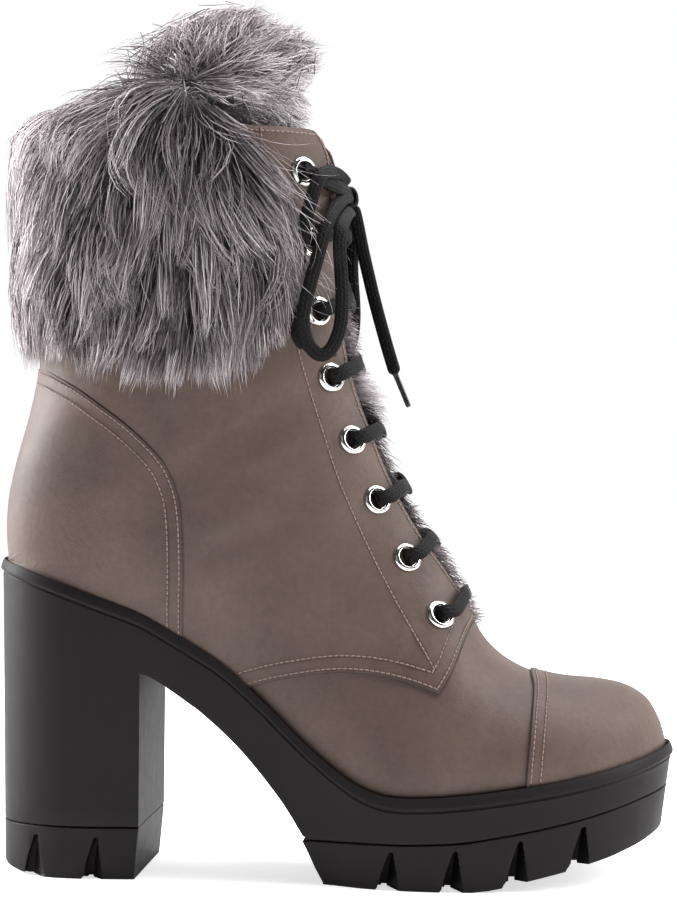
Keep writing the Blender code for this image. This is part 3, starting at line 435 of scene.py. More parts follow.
OUTLINE = (
    # x, outer half-width, inner half-width
    (122.2, 0.0, 0.0), (120.6, 10.8, 10.5), (116.4, 20.5, 19.5), (109.5, 29.5, 27.0),
    (99.5, 37.5, 33.5), (86.0, 43.8, 39.0), (69.0, 48.0, 43.0), (50.0, 49.8, 45.0),
    (30.0, 48.8, 43.3), (11.0, 44.2, 39.2), (-7.0, 38.0, 34.8), (-25.0, 33.3, 32.0),
    (-45.0, 31.4, 31.2), (-66.0, 31.8, 31.8), (-85.0, 32.3, 32.3), (-100.0, 30.8, 30.8),
    (-111.5, 25.8, 25.8), (-119.5, 18.3, 18.3), (-123.6, 9.6, 9.6), (-124.9, 0.0, 0.0),
)
CENTRE = ((-130.0, 0.0), (30.0, 0.0), (60.0, 0.8), (90.0, 2.4), (125.0, 4.2))
RIM = (
    # x, z of the lip's top
    (-126.0, 114.8), (-115.5, 112.0), (-98.0, 106.2), (-83.0, 100.7), (-68.6, 95.4),
    (-54.4, 87.0), (-40.0, 78.2), (-29.4, 69.0), (-18.4, 58.6), (-11.0, 51.5),
    (-3.5, 45.2), (3.8, 39.7), (11.0, 35.4), (18.1, 33.0), (25.2, 32.4), (39.0, 33.0),
    (53.0, 34.4), (66.7, 36.2), (80.5, 38.2), (94.6, 40.8), (109.0, 44.1), (124.0, 48.6),
)
PARTING = ((-12.0, 15.7), (25.0, 16.0), (46.0, 17.0), (60.0, 19.2), (74.0, 21.6),
           (87.0, 24.1), (102.0, 27.5), (109.0, 29.5), (124.0, 33.0))
WALKING = ((-12.0, 0.0), (50.0, 0.0), (56.0, 0.6), (62.0, 1.7), (70.0, 3.7),
           (83.0, 6.4), (91.0, 8.4), (101.0, 10.6), (111.0, 13.4), (124.0, 17.6))
ARCH = ((-68.8, 73.6), (-66.6, 73.2), (-61.6, 70.4), (-54.4, 65.4), (-47.2, 60.2),
        (-40.0, 53.9), (-32.7, 46.8), (-25.3, 38.2), (-17.8, 28.6), (-13.0, 21.3),
        (-10.2, 16.1))
TIP_ROW = len(OUTLINE) - 1

# The lip's section: how far in from the outline, how far below the lip's top.
LIP_SECTION = ((1.75, DISH), (1.72, 0.4), (1.5, 0.05), (1.2, 0.12), (0.85, 0.75),
               (0.5, 1.7), (0.2, 2.7), (0.03, 3.3), (0.0, 3.7), (0.12, 4.05),
               (0.45, 4.3), (0.95, 4.5), (1.15, 4.8), (1.05, 5.15), (0.82, 5.45))


def centre_y(x):
    """Sideways swing of the boot's middle line."""
    return soft(CENTRE, x, 12.0)


def outline_point(t, side, inset=0.0):
    """A point of the plan outline at row t, moved inwards by inset."""
    def raw(s):
        """Beyond either tip the outline goes on along the other side."""
        across = side if 0.0 <= s <= TIP_ROW else -side
        r = between(OUTLINE, abs(s) if s <= TIP_ROW else 2 * TIP_ROW - s)
        return r[0], across * r[1 if side < 0 else 2]

    x, y = raw(t)
    (xa, ya), (xb, yb) = raw(t - 0.02), raw(t + 0.02)
    dx, dy = side * (xb - xa), side * (yb - ya)
    n = math.hypot(dx, dy)
    return x - dy / n * inset, centre_y(x) + y + dx / n * inset


def halving(still, high):
    """The number between 0 and high at which a test stops being true."""
    low = 0.0
    for _ in range(40):
        mid = 0.5 * (low + high)
        low, high = (mid, high) if still(mid) else (low, mid)
    return low


def row_at_x(x):
    """Row number of the outline whose point lies at x."""
    return halving(lambda t: between(OUTLINE, t)[0] > x, TIP_ROW)


def wall_inset(x, z):
    """The side of the sole leans in towards the floor, most of all at the toe."""
    top = along(RIM, x) - LIP_DROP
    lean = 1.4 + 4.6 * min(max((x - 70.0) / 50.0, 0.0), 1.0) ** 1.5 if x >= -60.0 else 0.8
    return 0.8 + lean * max(top - z, 0.0) / max(top, 1.0)


def rim(x):
    return soft(RIM, x, 4.0)


def sole_bottom(x, behind):
    """Underside of the sole unit; behind says which side of the breast counts."""
    if x < BREAST_X - 0.01 or behind:
        return HEEL_TREAD + PART_LINE
    if x < -10.2:
        return soft(ARCH, x, 1.5) if x > -68.0 else along(ARCH, x)
    return soft(PARTING, x, 4.0) + PART_LINE


def ladder(rows, rings, front=True, back=True):
    """A solid from plan rings: ring(t, side) gives a point; caps join the two sides.
    front and back say whether the outline closes in a tip there."""
    keys = [(t, -1) for t in rows] + [(t, 1) for t in reversed(rows)]
    if front:
        keys.pop()
    if back:
        keys.pop(len(rows))
    n = len(keys)
    verts = [ring(t, side) for ring in rings for t, side in keys]
    caps = {3: [], 4: []}
    for base, turn in ((0, 1), ((len(rings) - 1) * n, -1)):
        where = {key: base + k for k, key in enumerate(keys)}
        for t0, t1 in zip(rows, rows[1:]):
            quad = [where[(t0, -1)], where[(t1, -1)],
                    where.get((t1, 1), where[(t1, -1)]), where.get((t0, 1), where[(t0, -1)])]
            ring = [v for k, v in enumerate(quad) if v != quad[k - 1]]
            caps[len(ring)].append(ring[::turn])
    return verts, [grid_faces(len(rings), n, closed=True), caps[4], caps[3]]


def outward(piece, weld=0.001, thin=0.0):
    """Weld what lies together, and turn every face outwards."""
    bm = bmesh.new()
    bm.from_mesh(piece.data)
    bmesh.ops.remove_doubles(bm, verts=bm.verts, dist=weld * MM)
    if thin:
        bmesh.ops.dissolve_degenerate(bm, edges=bm.edges, dist=thin * MM)
    bmesh.ops.recalc_face_normals(bm, faces=bm.faces)
    bm.to_mesh(piece.data)
    bm.free()
    return piece


def rounded(piece, width):
    """Break a moulded piece's sharp edges."""
    b = piece.modifiers.new("broken_edges", "BEVEL")
    b.width = width * MM
    b.segments = 2
    b.limit_method = "ANGLE"
    b.angle_limit = math.radians(40.0)


rubber = Finish("matt_black_rubber", Specular_IOR_Level=0.17)
rubber.mottled(rubber.noise(45.0, 3.0), linear(24, 21, 22), linear(31, 27, 28))
rubber.set("Roughness", 0.50 + 0.12 * rubber.noise(160.0, 3.0))
rubber.set("Normal", rubber.bump(rubber.noise(1400.0, 3.0, 0.6), 0.00004, 0.5,
                                 Normal=rubber.bump(rubber.noise(90.0), 0.0003, 0.25)))

t_breast = row_at_x(BREAST_X)
sole_rows = [k * 0.1 for k in range(10 * TIP_ROW + 1) if abs(k * 0.1 - t_breast) > 0.05]
sole_rows = sorted(sole_rows + [t_breast - 0.012, t_breast + 0.012])


def lip_ring(inset, drop):
    def point(t, side):
        x, y = outline_point(t, side, inset)
        return (x, y, rim(x) - drop)
    return point


def wall_ring(share, extra=0.0, lift=0.0):
    """share is 0 under the lip and 1 at the bottom edge."""
    def point(t, side):
        x0 = between(OUTLINE, t)[0]
        low = sole_bottom(x0, t > t_breast)
        high = rim(x0) - LIP_SECTION[-1][1]
        z = high + (low + 0.5 - high) * share + lift
        x, y = outline_point(t, side, wall_inset(x0, z) + extra)
        return (x, y, z)
    return point


sole_rings = [lip_ring(*row) for row in LIP_SECTION]
sole_rings += [wall_ring(share) for share in (0.08, 0.2, 0.4, 0.6, 0.8, 0.93, 1.0)]
sole_rings += [wall_ring(1.0, 0.15, -0.35), wall_ring(1.0, 0.5, -0.5)]
sole_unit = mesh_piece("sole_moulding", *ladder(sole_rows, sole_rings), rubber, sharp=32.0)
fit(outward(sole_unit), "black_rubber", "sole_unit")


# ================================================================ treads
# The forefoot tread and the heel's top piece are lugged slabs of the same rubber, cemented
# on.  Wedge-shaped notches cut their sides, and shallow channels run across between them.
def wedge(profile, y0, y1, end=None):
    """A prism along Y from a closed outline in X and Z, to cut with; `end` closes it."""
    n = len(profile)
    verts = [(x, y, z) for y, line in ((y0, profile), (y1, end or profile)) for x, z in line]
    caps = np.arange(2 * n).reshape(2, n)
    piece = mesh_piece("wedge", verts, [grid_faces(2, n, closed=True), caps], rubber)
    piece.data.shade_flat()
    return outward(piece)


def carve(piece, cutters):
    """Cut the piece with each cutter and keep the result as its mesh."""
    for cutter in cutters:
        m = piece.modifiers.new("cut", "BOOLEAN")
        m.solver = "EXACT"
        m.object = cutter
    bpy.context.view_layer.update()
    cut = piece.evaluated_get(bpy.context.evaluated_depsgraph_get())
    piece.data = bpy.data.meshes.new_from_object(cut)
    piece.modifiers.clear()
    for cutter in cutters:
        bpy.data.objects.remove(cutter, do_unlink=True)


def notch(x, z_top, low, y, depth):
    """A wedge-shaped notch with a rounded top and rounded lower corners; it closes toward
    its rear flank inwards."""
    def outline(share):
        crown = z_top - 1.1
        flank = [(1.1 * math.sin(a), crown + 1.1 * math.cos(a)) for a in (0.0, 0.45, 0.9, 1.35)]
        fall = crown - (low + 2.6)
        flank += [(1.1 + 2.1 * k / 5, crown - fall * k / 5) for k in range(1, 6)]
        flank += [(3.7, low + 1.0), (4.6, low - 0.2), (6.0, low - 3.0)]
        rear = [(x - d - 1.4 * min(1.0, (z_top - z) / 9.0), z) for d, z in flank]
        front = [(r + (x + min(d, 2.9 + 0.2 * d) - r) * share, z)
                 for (d, z), (r, _) in zip(flank, rear)]
        return rear[:0:-1] + front

    outer = math.copysign(9.0, -depth)
    return wedge(outline(1.0 + 0.65 * 9.0 / abs(depth)), y + outer, y + depth, outline(0.35))


def cut_lugs(piece, places, depth, back, spare):
    """At each x, top and floor: a notch in both sides, and a channel that joins them."""
    cuts = []
    for x, top, low in places:
        y_out, y_in = (outline_point(row_at_x(x), side)[1] for side in (-1, 1))
        cuts += [notch(x, top, low, y_out, depth), notch(x, top, low, y_in, -depth)]
        rear = x - back
        cuts.append(wedge([(rear - 1.2, low - 4), (rear + 1.2, low - 4),
                           (rear + 1.0, low + 0.6), (rear - 1.0, low + 0.6)],
                          y_out + spare, y_in - spare))
    carve(piece, cuts)
    rounded(piece, 0.45)


def tread_ring(lift, share, extra):
    def point(t, side):
        x0 = between(OUTLINE, t)[0]
        high = soft(PARTING, x0, 4.0)
        z = high + (along(WALKING, x0) - high) * share + lift
        x, y = outline_point(t, side, wall_inset(x0, z) + extra)
        x += 7.0 * max(0.0, 1.0 - (x0 + 10.5) / 22.0) * share
        return (x, y, z)
    return point


t_end = row_at_x(-10.5)
tread_rows = [k * 0.1 for k in range(int(10 * t_end))] + [t_end]
tread_rings = [tread_ring(*row) for row in (
    # lift, share of the height, how far in
    (0.0, 0.0, 0.9), (-0.15, 0.0, 0.3), (-0.5, 0.0, 0.0), (0.0, 0.3, 0.0), (0.0, 0.6, 0.0),
    (0.9, 1.0, 0.0), (0.3, 1.0, 0.25), (0.0, 1.0, 0.9))]
tread = outward(mesh_piece("forefoot_lugs", *ladder(tread_rows, tread_rings, back=False),
                           rubber, sharp=40.0))
cut_lugs(tread, [(x, along(PARTING, x) - 2.4, along(WALKING, x))
                 for x in (22.0, 44.5, 67.0, 89.0)], 14.0, 3.4, 12.0)
fit(tread, "black_rubber", "forefoot_tread")


def top_piece_ring(z, extra):
    def point(t, side):
        x, y = outline_point(t, side, wall_inset(-90.0, z) + extra)
        if t <= t_front + 1e-9:
            x = BREAST_X - 0.3 - 1.8 * (1.0 - z / HEEL_TREAD)
        worn = 2.8 * (max(0.0, -101.0 - x) / 21.0) ** 2
        return (x, y, z + worn * max(0.0, 1.0 - z / 12.0))
    return point


t_front = row_at_x(BREAST_X - 0.3)
top_rows = [t_front] + [k * 0.1 for k in range(int(10 * t_front) + 2, 10 * TIP_ROW + 1)]
top_rings = [top_piece_ring(*row) for row in (
    (HEEL_TREAD, 0.9), (HEEL_TREAD - 0.15, 0.3), (HEEL_TREAD - 0.5, 0.0), (9.0, 0.0),
    (0.9, 0.0), (0.3, 0.25), (0.0, 0.9))]
heel_lugs = outward(mesh_piece("heel_lugs", *ladder(top_rows, top_rings, front=False),
                               rubber, sharp=40.0))
cut_lugs(heel_lugs, [(-84.4, 15.2, 0.0), (-107.0, 15.2, 0.0)], 8.0, 3.2, 6.0)
fit(heel_lugs, "black_rubber", "heel_tread")


# ================================================================ insole
# A board covered with brown felt lies loose on the footbed inside the boot; only its heel
# shows, from above through the collar.
felt = Finish("insole_felt", Roughness=0.95)
felt.mottled(felt.noise(500.0, 4.0), linear(92, 80, 76), linear(118, 104, 99))
felt.set("Normal", felt.bump(felt.noise(1800.0, 4.0, 0.7), 0.0003, 0.7))
board = frame["nodes"]["insole"].data.materials
board.clear()
board.append(felt.material)


# ================================================================ upper
# Vamp and shaft: matt taupe nubuck on a fabric lining, lasted over a round-toed form.
# Its lower edge is cemented down inside the sole's lip.
LAP = 1.05                     # thickness of the pieces stitched on top
LINED = 2.1                    # vamp and lining together
THROAT_ROW = 10.0
COLLAR_ROW = 31.0
SEAM_ROW = 22.0                # from here up the sections start at the back seam

# The last: a fan of sections, each in a plane through its front and back points.
SECTIONS = (
    # front x, front z, back x, back z, body, widest at, roundness low and top
    (119.4, 46.0, 119.4, 46.0, 0.0, 0.16, 2.0, 2.1), (118.7, 50.6, 118.7, 45.9, 0.0, 0.16, 2.0, 2.1),
    (116.6, 56.8, 116.6, 45.2, 0.0, 0.16, 2.0, 2.2), (112.4, 63.4, 112.4, 43.5, 0.0, 0.17, 2.0, 2.3),
    (105.0, 67.9, 105.0, 41.4, 0.0, 0.18, 2.0, 2.3), (95.0, 70.1, 95.0, 39.2, 0.0, 0.18, 2.0, 2.3),
    (82.0, 71.3, 82.0, 36.7, 0.0, 0.18, 2.0, 2.25), (70.5, 74.1, 69.0, 34.9, 0.0, 0.17, 2.0, 2.15),
    (61.0, 79.2, 57.5, 33.2, 0.0, 0.16, 2.0, 2.05), (54.5, 85.6, 47.0, 32.1, 0.0, 0.15, 2.0, 1.95),
    (50.5, 92.5, 37.0, 31.2, 0.0, 0.14, 2.0, 1.9), (47.0, 101.0, 25.0, 30.7, 20.0, 0.13, 2.0, 1.85),
    (42.3, 111.8, 12.0, 33.3, 24.0, 0.14, 2.0, 1.85), (36.6, 122.3, -2.0, 42.3, 27.0, 0.17, 2.0, 1.85),
    (30.9, 132.6, -16.0, 54.6, 28.5, 0.24, 2.0, 1.9), (25.4, 143.6, -31.0, 68.8, 30.0, 0.31, 2.0, 1.9),
    (20.6, 153.5, -50.0, 82.6, 31.5, 0.38, 2.1, 1.95), (16.8, 163.0, -70.0, 94.2, 32.5, 0.43, 2.15, 2.0),
    (13.9, 171.0, -88.0, 100.9, 33.0, 0.46, 2.3, 2.0), (11.9, 177.5, -104.0, 106.6, 33.3, 0.49, 2.45, 2.05),
    (10.4, 182.5, -114.5, 110.1, 33.6, 0.51, 2.55, 2.1), (9.4, 186.5, -120.3, 111.7, 33.8, 0.525, 2.6, 2.1),
    (8.6, 190.0, -121.5, 113.2, 34.0, 0.535, 2.6, 2.1), (7.5, 196.0, -122.5, 123.4, 34.2, 0.545, 2.55, 2.1),
    (6.5, 203.0, -121.8, 137.0, 34.6, 0.55, 2.45, 2.1), (5.6, 211.0, -117.8, 153.0, 35.2, 0.555, 2.35, 2.1),
    (4.7, 220.0, -112.9, 168.0, 36.0, 0.56, 2.2, 2.1), (3.8, 230.0, -110.6, 184.0, 36.8, 0.56, 2.2, 2.1),
    (2.9, 240.5, -110.8, 202.0, 37.6, 0.56, 2.2, 2.1), (2.1, 250.5, -110.8, 224.0, 38.4, 0.56, 2.2, 2.1),
    (1.3, 260.0, -111.4, 247.0, 39.2, 0.56, 2.2, 2.1), (0.6, 268.6, -112.0, 268.6, 40.0, 0.56, 2.2, 2.1),
)
THROAT = ((10.0, 0.0), (10.4, 5.5), (11.0, 9.0), (12.0, 11.5), (14.0, 12.5), (20.0, 13.0),
          (29.0, 14.0), (30.0, 15.2), (30.6, 18.0), (31.0, 22.5))

# Seams seen from the side.
CAP_SEAM = ((69.8, 82.0), (70.4, 74.5), (71.4, 70.0), (70.8, 62.0), (70.0, 53.0),
            (69.1, 43.0), (68.0, 28.0))
COUNTER_SEAM = ((-114.0, 184.5), (-104.0, 182.0), (-99.3, 179.8), (-90.9, 175.4),
                (-82.9, 170.0), (-75.3, 164.6), (-68.0, 158.4), (-60.9, 151.0),
                (-57.1, 144.7), (-54.4, 137.5), (-53.1, 130.0), (-52.6, 121.0),
                (-52.6, 108.0), (-53.1, 94.0), (-53.4, 70.0))
QUARTER_SEAM = ((-38.0, 66.0), (-31.5, 68.1), (-25.6, 70.0), (-18.0, 71.9), (-10.9, 73.2),
                (-3.7, 74.3), (3.4, 74.9), (10.4, 74.7), (17.4, 73.9), (24.4, 72.5),
                (31.4, 70.5), (38.4, 67.9), (40.9, 72.0), (43.6, 77.0), (46.0, 83.4),
                (48.6, 89.5), (50.6, 92.9))
TIP = 11                       # the quarter's pointed tip, counted along that seam

STEP = 0.05                    # rows between two lines of the skin's net
ACROSS = 128


def foot_table(side):
    points = [outline_point(k / 10.0, side, FEATHER) for k in range(10 * TIP_ROW + 1)]
    xs = np.array([x for x, _ in points])
    ys = np.array([abs(y - centre_y(x)) for x, y in points])
    return xs[::-1], ys[::-1]


FOOT = {side: foot_table(side) for side in (-1, 1)}


def unit(vectors):
    return vectors / np.maximum(np.linalg.norm(vectors, axis=-1, keepdims=True), 1e-9)


def squared(vectors, ahead):
    """Unit vectors turned square to the way ahead."""
    return unit(vectors - ahead * (vectors * ahead).sum(1, keepdims=True))


def eased(points, rounds):
    """Even out neighbours along the first axis, the ends held."""
    for _ in range(rounds):
        points[1:-1] = 0.25 * points[:-2] + 0.5 * points[1:-1] + 0.25 * points[2:]
    return points


def run_of(points):
    """Distance along a run at each of its points."""
    steps = np.linalg.norm(np.diff(points, axis=0), axis=1)
    return np.concatenate([[0.0], np.cumsum(steps)])


def sampled(at, run, points):
    """Points at given distances along a run."""
    return np.stack([np.interp(at, run, column) for column in np.asarray(points).T], axis=1)


def section(row, side):
    """Dense points of one half section, from the sole or back seam to the front."""
    ax, az, bx, bz, body, peak, low, top = between(SECTIONS, row)
    foot = float(np.interp(bx, *FOOT[side])) if row < SEAM_ROW - 0.1 else 0.0
    wide = ((foot * 1.02) ** 8 + max(body, 0.0) ** 8) ** 0.125
    share = min(foot / wide, 0.985) if wide > 1e-4 else 0.98
    start = peak * (1.0 - (1.0 - share ** low) ** (-1.0 / low)) if share > 1e-6 else 0.0
    a0 = math.asin(min(1.0, (peak / (peak - start)) ** (low / 2.0)))
    a = np.linspace(a0, 0.0, 60)
    b = np.linspace(0.0, math.pi / 2, 120)[1:]
    s = np.concatenate([peak - (peak - start) * np.sin(a) ** (2.0 / low),
                        peak + (1.0 - peak) * np.sin(b) ** (2.0 / top)])
    s[0] = 0.0
    y = wide * np.concatenate([np.cos(a) ** (2.0 / low), np.abs(np.cos(b)) ** (2.0 / top)])
    y[-1] = 0.0
    bz += 0.4 if row < SEAM_ROW else 0.0
    points = np.stack([bx + s * (ax - bx), y, bz + s * (az - bz)], axis=1)
    return points, run_of(points)


def skin_net(side):
    """The leather's outer face on one side as a net of points with their normals."""
    net = []
    for k in range(int(COLLAR_ROW / STEP) + 1):
        points, run = section(k * STEP, side)
        line = sampled(np.linspace(0.0, run[-1], ACROSS + 1), run, points)
        line[:, 1] = soft(CENTRE, line[:, 0], 12.0) + side * line[:, 1]
        net.append(line)
    net = np.array(net)
    normal = eased(np.cross(np.gradient(net, axis=0), np.gradient(net, axis=1)) * side, 3)
    normal[:, -1, 1] = 0.0
    normal[int(SEAM_ROW / STEP):, 0, 1] = 0.0
    length = np.linalg.norm(normal, axis=2, keepdims=True)
    normal = np.where(length > 1e-9, normal / np.maximum(length, 1e-9), (1.0, 0.0, 0.0))
    if normal[300, 64, 1] * side < 0:
        normal = -normal
    normal[:2] = (0.96, 0.0, 0.28)
    return net, normal


NET = {side: skin_net(side) for side in (-1, 1)}


def bilinear(table, i, j):
    """A table read at places that lie between its rows and columns."""
    a, b = i.astype(int), j.astype(int)
    f, g = i - a, j - b
    if table.ndim > 2:
        f, g = f[..., None], g[..., None]
    return ((table[a, b] * (1 - g) + table[a, b + 1] * g) * (1 - f)
            + (table[a + 1, b] * (1 - g) + table[a + 1, b + 1] * g) * f)


def read_net(table, row, share):
    """Values of a net at rows and shares, which may be arrays."""
    return bilinear(table, np.clip(np.asarray(row, float) / STEP, 0.0, len(table) - 1.001),
                    np.clip(np.asarray(share, float) * ACROSS, 0.0, ACROSS - 1e-6))


def leather(row, share, side, lift=0.0):
    """Points on the leather, lifted off it."""
    points, normals = (read_net(table, row, share) for table in NET[side])
    return points + normals * np.asarray(lift)[..., None]


def facing(row, share, side):
    return unit(read_net(NET[side][1], row, share))


def share_at_width(row, side, half):
    """How far up a section lies the point that is half away from the middle plane."""
    points, run = section(row, side)
    top = int(np.argmax(points[:, 1]))
    return np.interp(half, points[top:, 1][::-1], run[top:][::-1]) / max(run[-1], 1e-9)


EDGE_ROWS = np.arange(THROAT_ROW, COLLAR_ROW + 0.01, 0.05)
EDGE = {side: np.array([share_at_width(r, side, along(THROAT, r)) for r in EDGE_ROWS])
        for side in (-1, 1)}
for side in (-1, 1):
    EDGE[side][0] = 1.0


def edge_share(row, side):
    """Where the leather ends at the front: the ridge, or the edge of the throat."""
    return np.where(np.asarray(row) <= THROAT_ROW, 1.0, np.interp(row, EDGE_ROWS, EDGE[side]))


def seam_distance(points, seam):
    """Distance seen from the side, from each point to a seam given as points in X and Z."""
    p = points[..., (0, 2)][..., None, :]
    a = np.array(seam[:-1], float)
    d = np.array(seam[1:], float) - a
    t = np.clip(((p - a) * d).sum(-1) / (d * d).sum(-1), 0.0, 1.0)
    return np.linalg.norm(p - a - t[..., None] * d, axis=-1).min(-1)


def smooth_seam(seam, n=12, corners=()):
    """A seam drawn through its points, with the corners kept."""
    cuts = [0, *corners, len(seam) - 1]
    out = [tuple(between(seam[a:b + 1], k / n))
           for a, b in zip(cuts, cuts[1:]) for k in range(n * (b - a))]
    return out + [seam[-1]]


CAP_LINE = smooth_seam(CAP_SEAM)
COUNTER_LINE = smooth_seam(COUNTER_SEAM)
QUARTER_LINE = smooth_seam(QUARTER_SEAM, 12, (1, TIP))


def share_at_seam(row, side, seam):
    """The share at which a row's plane crosses a seam, or None."""
    ax, az, bx, bz = between(SECTIONS, row)[:4]
    ray = np.array((ax - bx, az - bz))
    s = np.array(seam, float) - (bx, bz)
    off = ray[0] * s[:, 1] - ray[1] * s[:, 0]
    flips = np.nonzero(off[:-1] * off[1:] <= 0)[0]
    if not len(flips):
        return None
    k = flips[0]
    f = off[k] / (off[k] - off[k + 1]) if off[k] != off[k + 1] else 0.0
    points, run = section(row, side)
    at = (points[:, (0, 2)] - (bx, bz)) @ ray
    return float(np.interp((s[k] + f * (s[k + 1] - s[k])) @ ray, at, run)) / run[-1]


def rolled(distance, drop=0.5, reach=0.8):
    """A cut edge: the face rolls down over the last part of a millimetre."""
    return -drop * np.clip(1.0 - distance / reach, 0.0, 1.0) ** 3


def walled(piece, side, thickness):
    """Turn an open skin's outer face out, and give it a thickness inwards."""
    if sum(f.normal.y * f.area for f in piece.data.polygons
           if f.center.y * side > 0.0) * side < 0.0:
        piece.data.flip_normals()
    wall = piece.modifiers.new("thickness", "SOLIDIFY")
    wall.thickness = thickness * MM
    wall.offset = -1.0
    return piece


def shell(name, nets, thickness, finish):
    """A leather piece: nets of points welded where they meet, given a thickness."""
    faces, start = [], 0
    for net in nets:
        faces.append(grid_faces(*net.shape[:2], start))
        start += net[..., 0].size
    piece = mesh_piece(name, np.concatenate([net.reshape(-1, 3) for net in nets]), faces,
                       finish)
    return walled(outward(piece, 0.002, 0.001), -1, thickness)


CREASES = (
    # soft troughs and ridges left by walking, seen from the side:
    # x, z, direction in degrees, half length, half width, height
    (30.0, 86.0, 62.0, 16.0, 3.2, -0.35), (24.5, 84.0, 66.0, 14.0, 3.0, 0.28),
    (58.0, 62.0, 80.0, 12.0, 3.6, -0.25), (52.0, 60.0, 76.0, 12.0, 3.4, 0.2),
    (-38.0, 120.0, 25.0, 22.0, 4.5, -0.45), (-36.0, 128.0, 28.0, 20.0, 4.0, 0.3),
    (-28.0, 144.0, 20.0, 20.0, 4.5, -0.4), (-6.0, 118.0, -52.0, 14.0, 3.5, -0.3),
    (-80.0, 132.0, 12.0, 16.0, 5.0, -0.3))


def creased(points):
    """Height of the creases at points of the leather."""
    x, z = points[..., 0], points[..., 2]
    high = np.zeros(x.shape)
    for cx, cz, turn, half_long, half_wide, height in CREASES:
        a = math.radians(turn)
        u = (x - cx) * math.cos(a) + (z - cz) * math.sin(a)
        v = -(x - cx) * math.sin(a) + (z - cz) * math.cos(a) + 0.008 * u * u
        high += height * np.exp(-(u / half_long) ** 2 - (v / half_wide) ** 2)
    return high


def nubuck(name, *rows, gloss=0.35):
    """Cloudy colour, a fine nap and a shallow pebble grain.  Stitch rows, given as
    (attribute, gap in mm), sink and darken it, and its edge is then painted dark too: partly the raw edge's own
    colour, partly painted shadow in the gap along the lap."""
    finish = Finish(name, Specular_IOR_Level=gloss)
    fine = finish.noise(420.0, 3.0, 0.6)
    cloud = finish.mix(finish.noise(38.0, 4.0, 0.55).ramp(0.3, 0.7), linear(86, 70, 63),
                       linear(102, 85, 77))
    colour = finish.mix(fine.ramp(0.35, 0.75), cloud, (0.82, 0.82, 0.82), "MULTIPLY")
    pebble = finish.node("TexVoronoi", {"feature": "DISTANCE_TO_EDGE"},
                         {"Vector": finish.node("TexCoord", out=3), "Scale": 850.0})
    wrinkles = finish.bump(finish.noise(130.0, 4.0, 0.6, warp=1.4), 0.0006, 0.30)
    relief = finish.bump(pebble.ramp(0.0, 0.25) * 0.6 + fine * 0.8, 0.00012, 0.45,
                         Normal=wrinkles)
    if rows:
        sink = 0.0
        for attribute, gap in rows:
            away = abs(finish.node("Attribute", {"attribute_name": attribute}, out=2) - gap)
            sink = (1.0 - away.ramp(0.0, 0.75)) + sink
        edge = abs(finish.node("Attribute", {"attribute_name": "edge_gap"}, out=2))
        colour = finish.mix(sink * 0.5, colour, linear(52, 42, 38))
        # The dark line along the edge: partly the raw edge's own colour, partly painted shadow in the gap where the
        # piece laps over the one beneath.
        colour = finish.mix((1.0 - edge.ramp(0.25, 0.75)) * 0.85, colour, linear(34, 26, 24))
        relief = finish.bump(1.0 - sink, 0.0003, 0.5, Normal=relief)
    finish.set("Base Color", colour)
    finish.set("Roughness", 0.50 + 0.14 * finish.noise(70.0, 3.0))
    finish.set("Normal", relief)
    return finish


def base_net(side):
    rows = np.concatenate([[0.0, 0.03, 0.1, 0.2, 0.35], np.arange(0.5, 10.0, 0.125),
                           np.arange(10.0, 10.5, 0.06), np.arange(10.5, 15.0, 0.2),
                           np.arange(15.0, COLLAR_ROW + 0.01, 0.32)])
    rows = np.unique(np.minimum(rows, COLLAR_ROW))
    share = np.linspace(0.0, 1.0, 46)
    share = np.sort(np.concatenate([share, 1.0 - np.array((0.15, 0.35, 0.6, 1.0)) / 70.0]))
    r = np.repeat(rows[:, None], len(share), axis=1)
    s = share[None, :] * edge_share(r, side)
    to_edge = (edge_share(r, side) - s) * 100.0
    lift = creased(leather(r, s, side)) - LAP
    return leather(r, s, side, lift + np.where(r > THROAT_ROW, rolled(to_edge, 0.5, 1.2), 0.0))


upper = shell("upper_vamp_and_shaft", [base_net(-1), base_net(1)], LINED,
              nubuck("taupe_nubuck"))
fit(upper, "taupe_leather", "upper")


# ================================================================ seams and their thread
# Panels are lapped and sewn with two rows of taupe thread, about five stitches to the
# centimetre.  The rows sink a little into the nap.
THREAD_R = 0.27
PITCH = 1.95

thread = Finish("taupe_thread", Roughness=0.6)
thread.mottled(thread.noise(900.0), linear(126, 106, 98), linear(158, 138, 130))


def row_through(x, z):
    """The row of the fan whose plane passes through a point seen from the side."""
    def below(row):
        ax, az, bx, bz = between(SECTIONS, row)[:4]
        return (ax - bx) * (z - bz) - (az - bz) * (x - bx) > 0

    return halving(below, COLLAR_ROW)


def skin_place(x, z, side):
    """Row and share of the leather under a point seen from the side."""
    row = row_through(x, z)
    points, run = section(row, side)
    a = points[0, (0, 2)]
    ray = points[-1, (0, 2)] - a
    at = (points[:, (0, 2)] - a) @ ray
    return row, float(np.interp(((x, z) - a) @ ray, at, run)) / run[-1]


def beside(seam, gap):
    """The line that runs at a gap beside a seam, to the left of its direction if positive."""
    ahead = unit(np.gradient(np.array(seam, float), axis=0))
    line = np.array(seam) + np.stack([-ahead[:, 1], ahead[:, 0]], axis=1) * gap
    return line[seam_distance(line[:, (0, 0, 1)], seam) > abs(gap) - 0.08]


def on_leather(line, side, lift):
    """A line seen from the side laid on the leather, as points and facings."""
    row, share = np.array([skin_place(x, z, side) for x, z in line]).T
    return leather(row, share, side, lift), facing(row, share, side)


STITCH_RING = 6
# Along the stitch in pitches, thickness, and height in mm.
STITCH_SECTION = ((-0.43, 0.25, -0.30), (-0.38, 0.8, -0.10), (-0.2, 1.0, 0.06),
                  (0.2, 1.0, 0.06), (0.38, 0.8, -0.10), (0.43, 0.25, -0.30))


def full_turn(steps):
    return 2.0 * math.pi * np.arange(steps) / steps


